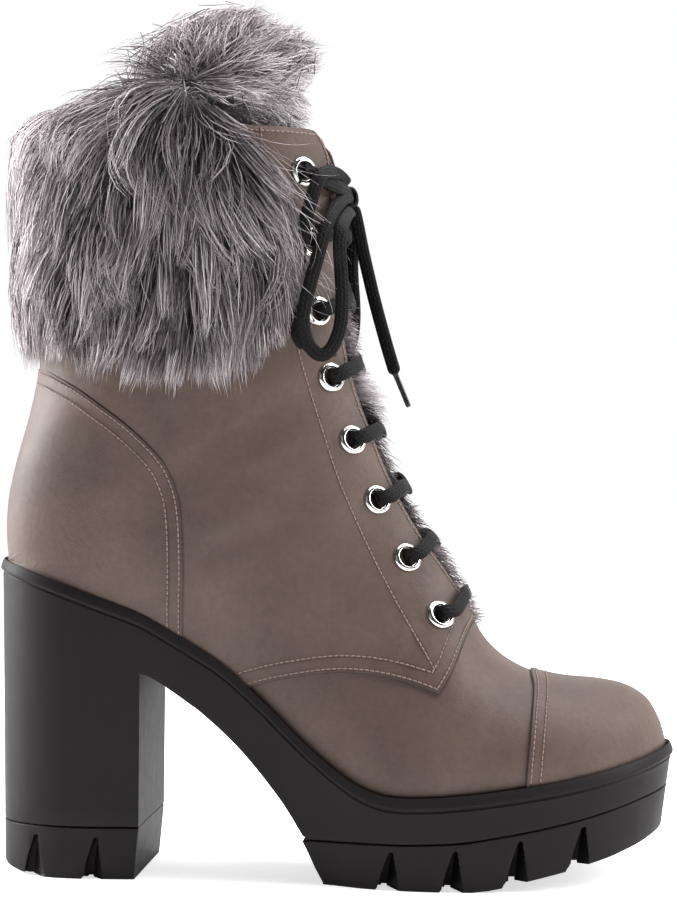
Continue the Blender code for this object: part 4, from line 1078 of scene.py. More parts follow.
def tube(path, u, v, w, h):
    """Points round a path: w and h say how far they lie along u and v."""
    return path[..., None, :] + w[..., None] * u[..., None, :] + h[..., None] * v[..., None, :]


def stitches(points, facings):
    """Thread along a line: one short arched capsule for each stitch."""
    run = run_of(points)
    count = max(int(run[-1] / PITCH), 1)
    at = (np.arange(count) + 0.5) * run[-1] / count
    mid = sampled(at, run, points)
    ahead = unit(sampled(at + 0.4, run, points) - sampled(at - 0.4, run, points))
    n = squared(sampled(at, run, facings), ahead)
    aside, turn = np.cross(ahead, n), full_turn(STITCH_RING)
    return np.stack([tube(mid + ahead * place * PITCH + n * height, aside, n,
                          THREAD_R * width * np.cos(turn), THREAD_R * width * np.sin(turn))
                     for place, width, height in STITCH_SECTION], axis=1)


def capped(n, m):
    """Faces of a closed run of n sections of m points, with a cap at each end."""
    cap = np.arange(m)
    return [grid_faces(n, m, closed=True), np.stack([cap[::-1], cap + (n - 1) * m])]


def repeated(faces, count, size):
    """The same faces again for each of count like parts of size points."""
    faces = np.asarray(faces)
    return (faces + (np.arange(count) * size)[:, None, None]).reshape(-1, faces.shape[1])


def sewn(name, lines):
    """One piece of thread from several stitched lines."""
    blocks = np.concatenate([stitches(*line) for line in lines])
    count, sections, turn = blocks.shape[:3]
    faces = [repeated(f, count, sections * turn) for f in capped(sections, turn)]
    fit(mesh_piece(name, blocks.reshape(-1, 3), faces, thread), "taupe_leather")


def mark(piece, name, values):
    """Give every point of a piece a number that its finish reads."""
    layer = piece.data.attributes.new(name, "FLOAT", "POINT")
    layer.data.foreach_set("value", np.asarray(values, np.float32))


def mark_gaps(piece, **seams):
    """Mark a piece's points with their distance from seams seen from the side."""
    co = np.zeros(len(piece.data.vertices) * 3)
    piece.data.vertices.foreach_get("co", co)
    points = co.reshape(-1, 3) / MM - ORIGIN
    for name, seam in seams.items():
        mark(piece, name, seam_distance(points, seam))


# ================================================================ heel counter
# A stiffened half-moon of nubuck lapped over the quarters at the back, edge cut raw, with
# two rows of stitching inside its curved edge.
COUNTER_LIFT = 0.55
COUNTER_ROWS = (1.5, 5.6)


def counter_net(side):
    r, s = [], []
    for row in np.arange(15.9, 27.4, 0.12):
        top = share_at_seam(row, side, COUNTER_LINE)
        if not top:
            continue
        span = max(top * section(row, side)[1][-1], 0.5)
        close = np.array((1.0, 0.6, 0.35, 0.15, 0.0)) * min(1.0, 0.02 * span) / span
        u = np.sort(np.concatenate([np.linspace(0.0, 1.0, 30)[:-1], 1.0 - close]))
        r.append(np.full(len(u), row))
        s.append(u * top)
    r, s = np.array(r), np.array(s)
    base = leather(r, s, side)
    to_edge = seam_distance(base, COUNTER_LINE)
    net = leather(r, s, side, COUNTER_LIFT + 0.5 * creased(base) + rolled(to_edge))
    give = np.minimum(np.linalg.norm(net - net[:, :1], axis=-1), to_edge) / 12.0
    give = np.clip(give, 0.0, 0.5)[..., None]
    for _ in range(60):
        net[1:-1] += give[1:-1] * (0.5 * (net[:-2] + net[2:]) - net[1:-1])
    return net


counter = shell("heel_counter_panel", [counter_net(-1), counter_net(1)], 1.25,
                nubuck("counter_nubuck", *(("edge_gap", g) for g in COUNTER_ROWS)))
mark_gaps(counter, edge_gap=COUNTER_LINE)
fit(counter, "taupe_leather", "heel_counter")
sewn("counter_stitches",
     [on_leather(beside(COUNTER_LINE, -gap)[6:-6], side, COUNTER_LIFT + 0.12)
      for side in (-1, 1) for gap in COUNTER_ROWS])


# ================================================================ toe cap
# A cap of the same nubuck lapped over the vamp and lasted with it, two rows of stitching
# along its back edge.
CAP_ROWS = (1.7, 5.0)


def cap_row(shares, side, gap=0.0):
    """The row at which the cap's seam, or a line in front of it, crosses each share."""
    rows = np.arange(4.0, 9.5, STEP)
    x, z = np.array(CAP_LINE[::-1]).T
    found = []
    for share in shares:
        p = read_net(NET[side][0], rows, np.full(len(rows), share))
        found.append(np.interp(0.0, np.interp(p[:, 2], z, x) + gap - p[:, 0], rows))
    return np.array(found)


def cap_net(side):
    share = np.linspace(0.0, 1.0, 64)
    last = cap_row(share, side)
    u = np.concatenate([[0.0, 0.004, 0.013, 0.03, 0.055], np.linspace(0.08, 0.975, 62),
                        [0.983, 0.990, 0.995, 0.998, 1.0]])
    r = u[:, None] * last
    s = np.repeat(share[None, :], len(u), axis=0)
    return leather(r, s, side, 0.5 * creased(leather(r, s, side)) + rolled((last - r) * 10.6))


cap = shell("toe_cap_panel", [cap_net(-1), cap_net(1)], 1.2,
            nubuck("cap_nubuck", *(("edge_gap", g) for g in CAP_ROWS)))
mark_gaps(cap, edge_gap=CAP_LINE)
fit(cap, "taupe_leather", "toe_cap")
cap_lines = []
for gap in CAP_ROWS:
    for side, share in ((-1, np.linspace(0.03, 1.0, 60)), (1, np.linspace(1.0, 0.03, 60))):
        row = cap_row(share, side, gap)
        cap_lines.append((leather(row, share, side, 0.12), facing(row, share, side)))
sewn("cap_stitches", cap_lines)


# ================================================================ eyelets
# Eight polished nickel eyelets on each side: a rolled flange on the leather and a barrel
# that is clenched inside.
EYELETS = ((-10.4, 253.0), (-7.8, 227.8), (-5.5, 203.4), (-1.0, 179.7),
           (6.7, 157.2), (15.6, 135.7), (26.4, 115.0), (38.4, 94.9))
HOLE_R = 4.1
PULL = 8.0                     # how far round a hole the leather's net is drawn aside
# The eyelet's section: radius and height, from the clenched barrel over the flange.
RING = ((3.15, -3.6), (3.05, -3.0), (3.05, 0.2), (3.18, 0.75), (3.45, 1.12), (3.85, 1.3),
        (4.35, 1.26), (4.95, 0.98), (5.33, 0.6), (5.45, 0.3), (5.35, 0.1), (4.8, 0.02),
        (3.8, 0.0), (3.55, -0.4), (3.5, -3.6))


def eyelet_seat(x, z, side):
    """Where an eyelet sits and the way it faces."""
    row, share = skin_place(x, z, side)
    return leather(row, share, side), facing(row, share, side)


SIDES = ((-1, "outer"), (1, "inner"))
SEATS = {side: [eyelet_seat(x, z, side) for x, z in EYELETS] for side in (-1, 1)}


def turned(profile, seats, steps=40):
    """Rings turned from one closed profile of radius and height, at several seats."""
    verts = []
    for spot, n in seats:
        u = unit(np.cross(n, (0.0, 0.0, 1.0)))
        v = np.cross(n, u)
        verts += [spot + (math.cos(a) * u + math.sin(a) * v) * r + n * h
                  for a in full_turn(steps) for r, h in profile]
    ring = grid_faces(steps, len(profile), closed=True, ring=True)
    return verts, [repeated(ring, len(seats), steps * len(profile))]


nickel = Finish("polished_nickel", Metallic=1.0)
nickel.mottled(nickel.noise(300.0), (0.78, 0.77, 0.75), (0.66, 0.65, 0.63))
nickel.set("Roughness", 0.10 + 0.10 * nickel.noise(900.0, 3.0))
for side, word in SIDES:
    rings = mesh_piece("eyelets_" + word, *turned(RING, SEATS[side]), nickel, sharp=50)
    fit(outward(rings), "polished_nickel", *("eyelet_%s_%d" % (word, k + 1) for k in range(8)))


def drawn_aside(points, side):
    """Draw the leather's net away from the eyelets' holes, within its own surface."""
    out = points.copy()
    for spot, n in SEATS[side]:
        d = points - spot
        far = np.linalg.norm(d, axis=-1)
        d -= (d @ n)[..., None] * n
        r = np.linalg.norm(d, axis=-1)
        push = HOLE_R + (PULL - HOLE_R) * r / PULL - r
        push = np.where((r < PULL) & (far < 1.6 * PULL), push / np.maximum(r, 1e-6), 0.0)
        out += d * push[..., None]
    return out


def open_holes(points, quads, side):
    """Leave out the faces that span a hole."""
    for spot, n in SEATS[side]:
        corners = points[quads] - spot
        close = np.linalg.norm(corners.mean(axis=1), axis=1) < 3.0
        quads = quads[~(close & (np.linalg.norm(corners, axis=2).min(axis=1) > 2.0))]
    return quads


# ================================================================ quarters
# The two side panels: lapped over the vamp with a pointed front, sewn with two rows along
# the lower edge, and stitched again round the lacing edge and the facing behind it.
QUARTER_ROWS = (1.5, 6.0)
THROAT_GAP = 1.9
STAY_LINE = ((-24.9, 268.0), (-23.6, 250.0), (-20.4, 225.0), (-16.2, 204.0), (-12.3, 189.1),
             (-8.9, 176.7), (-3.6, 160.0), (1.6, 144.5), (8.0, 129.0), (15.4, 113.5),
             (23.3, 98.8), (33.6, 81.6), (36.8, 76.2))
STAY = smooth_seam(STAY_LINE, 6)
tip_row = row_through(*QUARTER_SEAM[TIP])


def quarter_net(side):
    """The quarter's points, and their distances from its edge at the throat."""
    rows = np.concatenate([np.arange(THROAT_ROW, 11.3, 0.04), np.arange(11.3, 15.2, 0.1),
                           np.arange(15.2, COLLAR_ROW + 0.01, 0.15), [tip_row]])
    rows = np.unique(np.minimum(rows, COLLAR_ROW))
    r, s, throat = [], [], []
    for row in rows:
        high = float(edge_share(row, side))
        low = (share_at_seam(row, side, QUARTER_LINE) if row < 15.1 else None) or 0.0
        low = min(low, high - 1e-4)
        long = section(row, side)[1][-1]
        span = max((high - low) * long, 1e-6)
        near = leather(np.array([row]), np.array([low + 1.0 / long]), side)
        rate = min(max(float(seam_distance(near, QUARTER_LINE)[0]), 0.12), 1.0)
        fine = np.array((0.12, 0.3, 0.55, 0.9)) / rate
        fine = fine * (fine < 0.2 * span) * (low > 0.0)
        back = np.minimum(np.array((0.15, 0.4, 0.7, 1.1)), 0.2 * span)
        u = np.sort(np.concatenate([np.linspace(0.0, 1.0, 68), fine / span,
                                    1.0 - back / span]))
        r.append(np.full(len(u), row))
        s.append(low + u * (high - low))
        throat.append((1.0 - u) * span)
    r, s, throat = np.array(r), np.array(s), np.array(throat)
    base = leather(r, s, side)
    lift = 0.9 * creased(base) + rolled(throat, 0.5, 1.1)
    lift += np.where(s > 0.001, rolled(seam_distance(base, QUARTER_LINE)), 0.0)
    return drawn_aside(leather(r, s, side, lift), side), throat


quarter_nubuck = nubuck("quarter_nubuck", *(("edge_gap", gap) for gap in QUARTER_ROWS),
                        ("throat_gap", THROAT_GAP), ("stay_gap", 0.0))
for side, word in SIDES:
    net, throat = quarter_net(side)
    points = net.reshape(-1, 3)
    quads = open_holes(points, grid_faces(*net.shape[:2]), side)
    quarter = mesh_piece("quarter_panel_" + word, points, [quads], quarter_nubuck)
    mark(quarter, "throat_gap", throat.ravel())
    mark_gaps(quarter, edge_gap=QUARTER_LINE, stay_gap=STAY)
    fit(walled(quarter, side, 1.2), "taupe_leather", "quarter_" + word)

    rows = np.arange(THROAT_ROW + 0.45, COLLAR_ROW - 0.3, 0.1)
    long = np.array([section(r, side)[1][-1] for r in rows])
    share = edge_share(rows, side) - THROAT_GAP / long
    top_share = np.arange(share[-1] - 0.01, 0.58, -0.01)
    top = np.stack([leather(np.full(len(top_share), COLLAR_ROW - d), top_share, side)
                    for d in (0.0, 1.0)])
    drop = THROAT_GAP / np.linalg.norm(top[0] - top[1], axis=1)
    rows = np.concatenate([rows, COLLAR_ROW - drop])
    share = np.concatenate([share, top_share])
    sewn("quarter_stitches_" + word,
         [on_leather(beside(QUARTER_LINE, gap)[12:], side, 0.1) for gap in QUARTER_ROWS]
         + [on_leather(STAY, side, 0.1),
            (leather(rows, share, side, 0.1), facing(rows, share, side))])


# ================================================================ tongue
# A soft, padded leather tongue, sewn in under the vamp at its foot.  Its face is set back
# between the facings and runs on up behind the lace.
TONGUE_OUT = -9.6              # how far its face stands off the throat's surface


THROAT_START = 8.0             # row below the lowest eyelets
THROAT_REACH = 26              # mm to either side of the middle


def throat_shares(side):
    """Shares of the points at whole millimetres from the middle plane, row by row."""
    return np.array([share_at_width(row, side, np.arange(THROAT_REACH + 1.0))
                     for row in np.arange(THROAT_START, COLLAR_ROW + 0.01, 0.1)])


THROAT_SHARES = {side: throat_shares(side) for side in (-1, 1)}


def each_side(where, place, *values):
    """Points that place(side, ...) gives for the values on each side of the boot."""
    where, *values = np.broadcast_arrays(where, *values)
    out = np.zeros(where.shape + (3,))
    for side in (-1, 1):
        pick = where < 0 if side < 0 else where >= 0
        out[pick] = place(side, where[pick], *(v[pick] for v in values))
    return out


def over_throat(row, width, lift):
    """Points over the throat: row, sideways distance (outer side negative), lift."""
    def place(side, width, row, lift):
        table = THROAT_SHARES[side]
        share = bilinear(table, np.clip((row - THROAT_START) * 10.0, 0.0, len(table) - 1.001),
                         np.clip(np.abs(width), 0.0, THROAT_REACH - 0.01))
        return leather(row, share, side, lift)

    return each_side(width, place, row, lift)


tongue_grid = over_throat(np.linspace(8.4, 30.6, 90)[:, None], np.linspace(-20.0, 20.0, 31),
                          TONGUE_OUT)
tongue = shell("padded_tongue", [tongue_grid], 2.4, nubuck("tongue_leather", gloss=0.5))
fit(tongue, "taupe_lining", "tongue")


# ================================================================ laces
# One flat-oval braided black lace: straight through the lowest eyelets, criss-cross up,
# tied in a bow at the top, its ends sealed in thin dark aglets.
UNDER = -5.3
LACE_WIDE = 5.3                # where it is threaded
LACE_DEEP = 2.5
BOW_WIDE = 4.9                 # where it hangs free
BOW_DEEP = 2.5
CORD_STEPS = 16
CORD_RING = 0.9                # between two rings of points along it
CROSSING = (0.0, 0.17, 0.06, 0.0, -0.10, -0.28, -0.38, -0.58)  # rise of each fold, in gaps
LOOP = ((4.7, 5.2, 246.3), (3.0, 13.5, 244.6), (0.6, 22.5, 240.2), (-1.9, 30.0, 233.2),
        (-4.4, 33.0, 223.5), (-7.2, 34.0, 213.0), (-9.0, 34.5, 205.6), (-9.9, 34.5, 199.6),
        (-9.2, 34.5, 194.2), (-7.2, 34.0, 189.8), (-3.6, 33.5, 187.2), (0.0, 32.5, 189.5),
        (2.7, 31.5, 195.8), (3.6, 30.6, 202.6), (3.6, 29.6, 209.8), (3.1, 28.5, 218.0),
        (2.8, 30.5, 226.0), (3.4, 28.0, 233.0), (4.5, 17.0, 238.6), (5.1, 6.4, 240.8))
FREE_END = ((5.2, 0.4, 243.2), (6.2, 0.6, 239.9), (7.0, 1.8, 236.2), (8.0, 3.4, 230.7),
            (9.1, 5.0, 225.1), (10.5, 6.4, 218.8), (12.1, 7.4, 211.8), (13.9, 8.0, 204.7),
            (16.0, 8.4, 196.9), (17.8, 8.7, 190.5), (19.5, 8.9, 184.8), (20.4, 9.0, 181.8))
AGLET = ((20.6, 9.0, 181.3), (25.4, 9.2, 169.6))
OUTER_END = ((3.4, 5.2, 250.7), (2.0, 11.0, 252.3), (0.4, 17.5, 253.2), (-1.7, 25.0, 253.1),
             (-4.0, 30.0, 251.1), (-5.6, 32.0, 247.0), (-6.9, 33.0, 242.7), (-8.3, 33.0, 238.0),
             (-9.8, 32.4, 231.9), (-11.1, 31.8, 225.1), (-11.9, 31.2, 218.3),
             (-12.3, 30.8, 211.5), (-12.5, 30.6, 204.6), (-12.4, 30.6, 197.8),
             (-11.9, 30.5, 194.2), (-10.6, 30.2, 191.8), (-9.2, 29.7, 190.6))
OUTER_AGLET = ((-8.0, 29.2, 189.8), (1.2, 24.2, 187.6))
TO_KNOT = ((-4.2, 24.8, 250.4), (-0.8, 20.0, 248.6), (1.4, 16.6, 248.2))
KNOT = np.array((4.4, 0.0, 245.9))
BOW_CLEAR = 9.8                # the bow's loops stand at least this far off the leather

braid = Finish("black_braid", Specular_IOR_Level=0.18)
lay = braid.node("UVMap", {"uv_map": "lay"})
round_about, along_it = braid.part(lay, 0), braid.part(lay, 1)
ply_a = (round_about * 44.0 + along_it * 3.3).math("SINE")
ply_b = (round_about * 44.0 - along_it * 3.3).math("SINE")
plait = ply_a.math("MAXIMUM", ply_b)
fuzz = braid.noise(1400.0, 3.0, 0.6)
streak = (round_about * 75.4 + 0.3 * (along_it * 0.8).math("SINE")).math("SINE") * 0.5 + 0.5
braid.mottled((plait * 0.5 + 0.5) * 0.25 + fuzz * 0.35 + streak * 0.4, linear(4, 3, 4),
              linear(22, 20, 21))
braid.set("Normal", braid.bump(plait * 0.45 + streak * 0.8, 0.0002, 0.8,
                               Normal=braid.bump(fuzz, 0.0002, 0.35)))
braid.set("Roughness", 0.55 + 0.2 * fuzz)


def curve(points, steps=8):
    """A smooth run through a few points."""
    rows = [tuple(float(v) for v in p) for p in points]
    count = (len(rows) - 1) * steps
    return np.array([between(rows, k / steps) for k in range(count + 1)])


def evened(points, step):
    """The same run with its points at even distances."""
    run = run_of(points)
    at = np.linspace(0.0, run[-1], max(int(run[-1] / step), 4) + 1)
    return sampled(at, run, points), at


def round_and_along(at, steps):
    """Places on a cord's finish: the share round it and the distance along it."""
    return np.stack(np.meshgrid(at, np.arange(steps) / steps, indexing="ij")[::-1],
                    axis=-1).reshape(-1, 2)


def oval_cord(points, out, wide, deep, steps=CORD_STEPS, soft_ends=True):
    """A closed oval tube.  out is the way its flat face looks at each point.  Returns
    points, faces, caps, places round and along it, and its own length."""
    path, at = evened(points, CORD_RING)
    ahead = unit(np.gradient(path, axis=0))
    look = squared(sampled(at, run_of(points), out), ahead)
    size = np.ones((len(path), 1))
    if soft_ends:
        size[[0, -1]], size[[1, -2]] = 0.55, 0.9
    c, s = np.cos(full_turn(steps)), np.sin(full_turn(steps))
    skin = tube(path, np.cross(ahead, look), look,
                size * 0.5 * wide * np.sign(c) * np.abs(c) ** 0.85,
                size * 0.5 * deep * np.sign(s) * np.abs(s) ** 0.75)
    return (skin.reshape(-1, 3), *capped(len(path), steps), round_and_along(at, steps),
            at[-1])


def cord_piece(name, parts, finish):
    """One piece from one or more cords, each with its own strip of the finish."""
    verts, quads, caps, places, lengths = zip(*parts)
    starts = np.cumsum([0] + [len(v) for v in verts])
    strips = [np.stack([(k + 0.02 + 0.94 * p[:, 0]) / len(parts), p[:, 1] / long], axis=1)
              for k, (p, long) in enumerate(zip(places, lengths))]
    faces = [f + start for kind in (quads, caps) for f, start in zip(kind, starts)]
    piece = mesh_piece(name, np.concatenate(verts), faces, finish,
                       strip=np.concatenate(strips))
    add_uv(piece.data, "lay", np.concatenate(places))
    return outward(piece)


def on_stage(points):
    """A run of points in the boot's own frame, in metres."""
    return [tuple(p) for p in (np.asarray(points) + ORIGIN) * MM]


# The threaded lace: rows and distances for each half, from the bottom bar to the top.
SPOTS = [(skin_place(x, z, -1)[0], abs(eyelet_seat(x, z, -1)[0][1])) for x, z in EYELETS]


def threaded(side):
    """One half of the lace."""
    near, middle, far = (-0.9, -1.6, -2.0) if side < 0 else (-4.0, -5.1, -5.1)
    row, y = SPOTS[-1]
    start = over_throat(row, side * 0.4, UNDER - 0.5)
    path = [start, np.array((start[0], side * 4.0, start[2])),
            over_throat(row, side * (y - 5.0), UNDER - 0.8)]
    for k in range(len(EYELETS) - 1, -1, -1):
        row, y = SPOTS[k]
        spot, n = SEATS[side][k]
        path += [spot + n * h for h in (-5.5, -3.0, 0.0, 3.0)]
        if k == 0:
            break
        gap = SPOTS[k - 1][0] - row
        cross = CROSSING[k]
        edge = max(float(along(THROAT, row + 0.2 * gap)), 7.0)
        edge_up = float(along(THROAT, row + 0.6 * gap)) + 1.5
        path += [over_throat(row + rise * gap, side * width, lift) for rise, width, lift in (
            (0.30 * cross, y - 2.4, 4.1), (0.46 * cross, edge + 0.3, 2.5),
            (0.62 * cross, edge - 3.2, 0.6), (0.80 * cross, 0.42 * edge, near),
            (cross, 0.0001, middle), (cross + 0.20, -0.40 * edge, far),
            (cross + 0.28, -0.78 * edge, -5.0), (cross + 0.38, -edge_up, UNDER - 0.1),
            (0.86, -edge_up - 1.0, UNDER - 0.1))]
        side = -side
    path += [np.array((x, side * y, z)) for x, y, z in TO_KNOT]
    path += [KNOT + (-1.2, side * 8.5, 1.9), KNOT + (0.0, side * 1.5, 0.8)]
    return curve(np.array([p.reshape(3) for p in path]), 6)


def facing_of_path(path):
    """The leather's facing beside each point of the threaded lace."""
    out = []
    for x, y, z in path:
        side = -1 if y < 0 else 1
        row, share = skin_place(x, z, side)
        n = facing(row, min(max(share, 0.55), 0.97), side)
        out.append(unit(n * (1.0, min(1.0, abs(y) / 9.0), 1.0)))
    return eased(np.array(out), 4)


for side, word in SIDES:
    path = threaded(side)
    piece = cord_piece("threaded_lace_" + word,
                       [oval_cord(path, facing_of_path(path), LACE_WIDE, LACE_DEEP)], braid)
    fit(piece, "black_lace", "lace_cross_" + word)


def clear_of_leather(x, y, z, side):
    """A point at a side's distance y, moved out until it clears the leather."""
    row, share = skin_place(x, z, side)
    if share < 0.995:
        y = max(y, abs(float(leather(row, share, side)[1])) + BOW_CLEAR)
    return (x, side * y, z)


plastic = Finish("aglet_film", Roughness=0.28)
plastic.mottled(plastic.noise(500.0, 3.0), linear(9, 8, 9), linear(30, 28, 30))
plastic.set("Normal", plastic.bump(plastic.noise(700.0, 2.0, 0.5, warp=0.8), 0.0002, 0.5))


def aglet(name, ends):
    """The sealed tip: a thin film tube rolled round the squeezed lace."""
    a, b = np.array(ends)
    a -= 1.4 * unit(b - a)
    path = a + (b - a) * np.linspace(0.0, 1.0, 30)[:, None]
    verts, *rest = oval_cord(path, np.tile((0.0, 1.0, 0.0), (30, 1)), 1.95, 1.75, 12, False)
    ring = verts.reshape(-1, 12, 3)
    heart = ring.mean(axis=1, keepdims=True)
    size = np.ones(len(ring))
    size[:3] = (1.35, 1.15, 1.04)
    size[-2:] = (0.97, 0.86)
    size[4:-3] += 0.035 * np.sin(np.arange(len(ring) - 7) * 2.4)
    verts = (heart + (ring - heart) * size[:, None, None]).reshape(-1, 3)
    return cord_piece(name, [(verts, *rest)], plastic)


def twisting(path, first, last):
    """The way a hanging end's flat face looks, turning a little on its way down."""
    a = np.radians(np.linspace(first, last, len(path)))
    return np.stack([np.sin(a), np.cos(a), 0.0 * a], axis=1)


def hung(name, line, look, node, far_end, **more):
    """A loose run of the lace, and what it says of itself as a cord."""
    piece = cord_piece(name, [oval_cord(line, look, BOW_WIDE, BOW_DEEP)], braid)
    fit(piece, "black_lace", node)
    middle, at = evened(line, 4.0)
    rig.cord(piece, exit=on_stage(line)[0], length=float(at[-1]) * MM,
            diameter=BOW_WIDE * MM, far_end=far_end, stiffness="limp", lay="hanging",
            path=on_stage(middle), **more)


for side, word in SIDES:
    loop = curve([clear_of_leather(x, y, z, side) for x, y, z in LOOP], 6)
    hung("bow_loop_" + word, loop, np.tile((0.15, side, 0.0), (len(loop), 1)),
         "lace_loop_" + word, "object")
    line, tip, turns = ((OUTER_END, OUTER_AGLET, (180.0, 172.0)) if side < 0 else
                        (FREE_END, AGLET, (188.0, 200.0)))
    sealed = aglet("aglet_tube_" + word, [(x, side * y, z) for x, y, z in tip])
    fit(sealed, "black_lace", "aglet_" + word)
    end = curve([(x, side * y, z) for x, y, z in line], 8)
    hung("lace_tail_" + word, end, twisting(end, *turns), "lace_end_" + word, "fitting",
         with_pieces=[sealed])


def wound(lean, rx, rz, width, shift):
    """One closed turn of the lace round the crossing of the two loops."""
    c, s = math.cos(lean), math.sin(lean)
    turn = full_turn(48)
    ring = np.stack([rx * np.cos(turn), 0.0 * turn, rz * np.sin(turn)], axis=1)
    hub = KNOT + shift
    ring = ring @ ((c, s, 0.0), (-s, c, 0.0), (0.0, 0.0, 1.0)) + hub
    path = evened(np.concatenate([ring, ring[:1]]), CORD_RING)[0][:-1]
    ahead = unit(np.roll(path, -1, axis=0) - np.roll(path, 1, axis=0))
    look = unit(path - hub)
    a = full_turn(CORD_STEPS)
    n = len(path)
    skin = tube(path, np.cross(ahead, look), look, 0.5 * width * np.cos(a), 1.15 * np.sin(a))
    return (skin.reshape(-1, 3), grid_faces(n, CORD_STEPS, closed=True, ring=True),
            np.zeros((0, CORD_STEPS), int),
            round_and_along(np.arange(n) * CORD_RING, CORD_STEPS), n * CORD_RING)


across_knot = KNOT + np.linspace(-4.6, 4.6, 12)[:, None] * (0.04, 1.0, 0.02)
knot = [wound(0.30, 1.9, 3.2, 4.8, (0.0, -1.2, 0.1)),
        wound(-0.30, 1.7, 2.9, 4.4, (0.1, 1.7, -0.3)),
        oval_cord(across_knot, np.tile((1.0, 0.0, 0.0), (12, 1)), 5.6, 3.0)]
fit(cord_piece("bow_knot", knot, braid), "black_lace", "lace_knot")


# ================================================================ fur
# Long grey-lilac guard hair over a dark, dense undercoat: folded over the collar as a deep
# cuff, down the face of the tongue, and standing over the tongue's top as a plume.
CUFF = (
    # share of the girth, hem z, thickness, top z
    (0.00, 189.5, 9.4, 279.5), (0.15, 188.5, 11.0, 277.0), (0.30, 184.0, 12.8, 279.5),
    (0.45, 178.5, 13.6, 285.0), (0.58, 175.0, 13.6, 288.0), (0.70, 177.5, 12.6, 286.0),
    (0.80, 184.5, 11.2, 282.0), (0.86, 190.0, 9.0, 278.0))
CUFF_FRONT = ((165.0, 0.67), (192.0, 0.755), (214.0, 0.79), (236.0, 0.79), (250.0, 0.76),
              (262.0, 0.70), (270.0, 0.64), (290.0, 0.61))
COLLAR_Z = 268.6
GIRTH = 155.0                  # half way round the shaft
LOCKS = 420                    # hairs that lead a lock, on half the cuff
PART_SHARE = 0.535             # the crown from which the cuff's hair falls
PART_Z = 284.0
chance = np.random.default_rng(7)

coat = Finish("taupe_fur")
strip = coat.node("UVMap", {"uv_map": "OFBake"})
across, upward = coat.part(strip, 0), coat.part(strip, 1)
# From dark at each hair's root to light at its tip: painted shade of the coat's depth.  Across, each hair's own tone.
shade = coat.node("ValToRGB", {"stops": ((0.0, linear(25, 21, 23)), (0.28, linear(74, 65, 68)),
                                         (0.6, linear(148, 137, 141)),
                                         (0.85, linear(205, 197, 201)),
                                         (1.0, linear(238, 231, 235)))},
                  {"Fac": upward * 0.5 + across * 0.95 - 0.27})
coat.set("Base Color", shade)
coat.set("Roughness", 0.42 + 0.2 * across)

undercoat = Finish("taupe_undercoat", Roughness=0.9)
undercoat.mottled(undercoat.noise(160.0, 4.0, 0.7).ramp(0.35, 0.7), linear(34, 29, 31),
                  linear(66, 58, 61))
undercoat.set("Normal", undercoat.bump(undercoat.noise(420.0, 4.0, 0.7), 0.001, 0.8))


SHAFT_FOOT = 150.0             # height from which the shaft's table reads
SHAFT_PARTS = 64               # its columns from the back seam to the front


def shaft_rows(side):
    """For each share and height on the shaft, the row of the fan that passes there."""
    rows = np.arange(14.0, COLLAR_ROW + 0.01, 0.1)
    heights = np.arange(SHAFT_FOOT, COLLAR_Z)
    return np.array([np.interp(heights, leather(rows, np.full(len(rows), s), side)[:, 2], rows)
                     for s in np.linspace(0.0, 1.0, SHAFT_PARTS + 1)])


SHAFT_ROWS = {side: shaft_rows(side) for side in (-1, 1)}


def on_shaft(girth, z, lift):
    """Points round the shaft: distance from the back seam (outer side negative), height,
    lift off the leather."""
    def place(side, girth, z, lift):
        share = np.clip(np.abs(girth) / GIRTH, 0.0, 1.0)
        table = SHAFT_ROWS[side]
        row = bilinear(table, np.clip(share * SHAFT_PARTS, 0.0, SHAFT_PARTS - 0.001),
                       np.clip(z - SHAFT_FOOT, 0.0, table.shape[1] - 1.001))
        out = unit(facing(row, share, side) * (1.0, 1.0, 0.0))
        points = leather(row, share, side) + out * lift[:, None]
        points[:, 2] += np.maximum(z - COLLAR_Z, 0.0)
        return points

    return each_side(girth, place, z, lift)


def cuff_value(girth, column):
    """A column of the cuff's table round the shaft."""
    share = np.abs(girth) / GIRTH / along(CUFF_FRONT, 230.0) * 0.86
    return along([(r[0], r[column]) for r in CUFF], np.minimum(share, 0.86))


def envelope(girth, z):
    """Depth of the fur over the leather."""
    top = cuff_value(girth, 3) - 1.0
    hem = cuff_value(girth, 1)
    over = np.clip((z - (top - 11.0)) / 11.0, 0.0, 0.995)
    near_hem = np.clip((z - hem + 13.0) / 34.0, 0.0, 1.0)
    front = along(CUFF_FRONT, z) * GIRTH - np.abs(girth)
    near_front = np.clip((front + 6.0) / 26.0, 0.0, 1.0)
    return (cuff_value(girth, 2) * np.sqrt(1.0 - over ** 2) * (0.30 + 0.70 * near_hem ** 0.7)
            * (0.35 + 0.65 * near_front ** 0.7))


def comb(girth, z, turn):
    """The way the hair lies, in distance round the shaft and height."""
    side = np.where(girth < 0, -1.0, 1.0)
    u = np.abs(girth) - PART_SHARE * GIRTH
    w = PART_Z - z
    r = np.sqrt(u * u + w * w) + 1e-6
    fall = np.clip((w - 3.0) / 42.0, 0.0, 1.0) * np.where(u < 0, 1.25, 0.18)
    du, dz = u / r, -w / r - fall
    away = np.clip(np.abs(girth) / 30.0, 0.0, 1.0)
    du = du * away * away * (3.0 - 2.0 * away)
    size = np.sqrt(du * du + dz * dz) + 1e-9
    du, dz = du / size, dz / size
    c, s = np.cos(turn), np.sin(turn)
    return side * (du * c - dz * s), du * s + dz * c


def grow(girth, z, length, turn, bend, steps=16):
    """Follow the combing from each root; gives hair, step and the two distances."""
    path = [np.stack([girth, z], axis=1)]
    for k in range(steps):
        way = comb(*path[-1].T, turn + bend * (k / steps))
        path.append(path[-1] + np.stack(way, axis=1) * (length / steps)[:, None])
    return np.stack(path, axis=1)


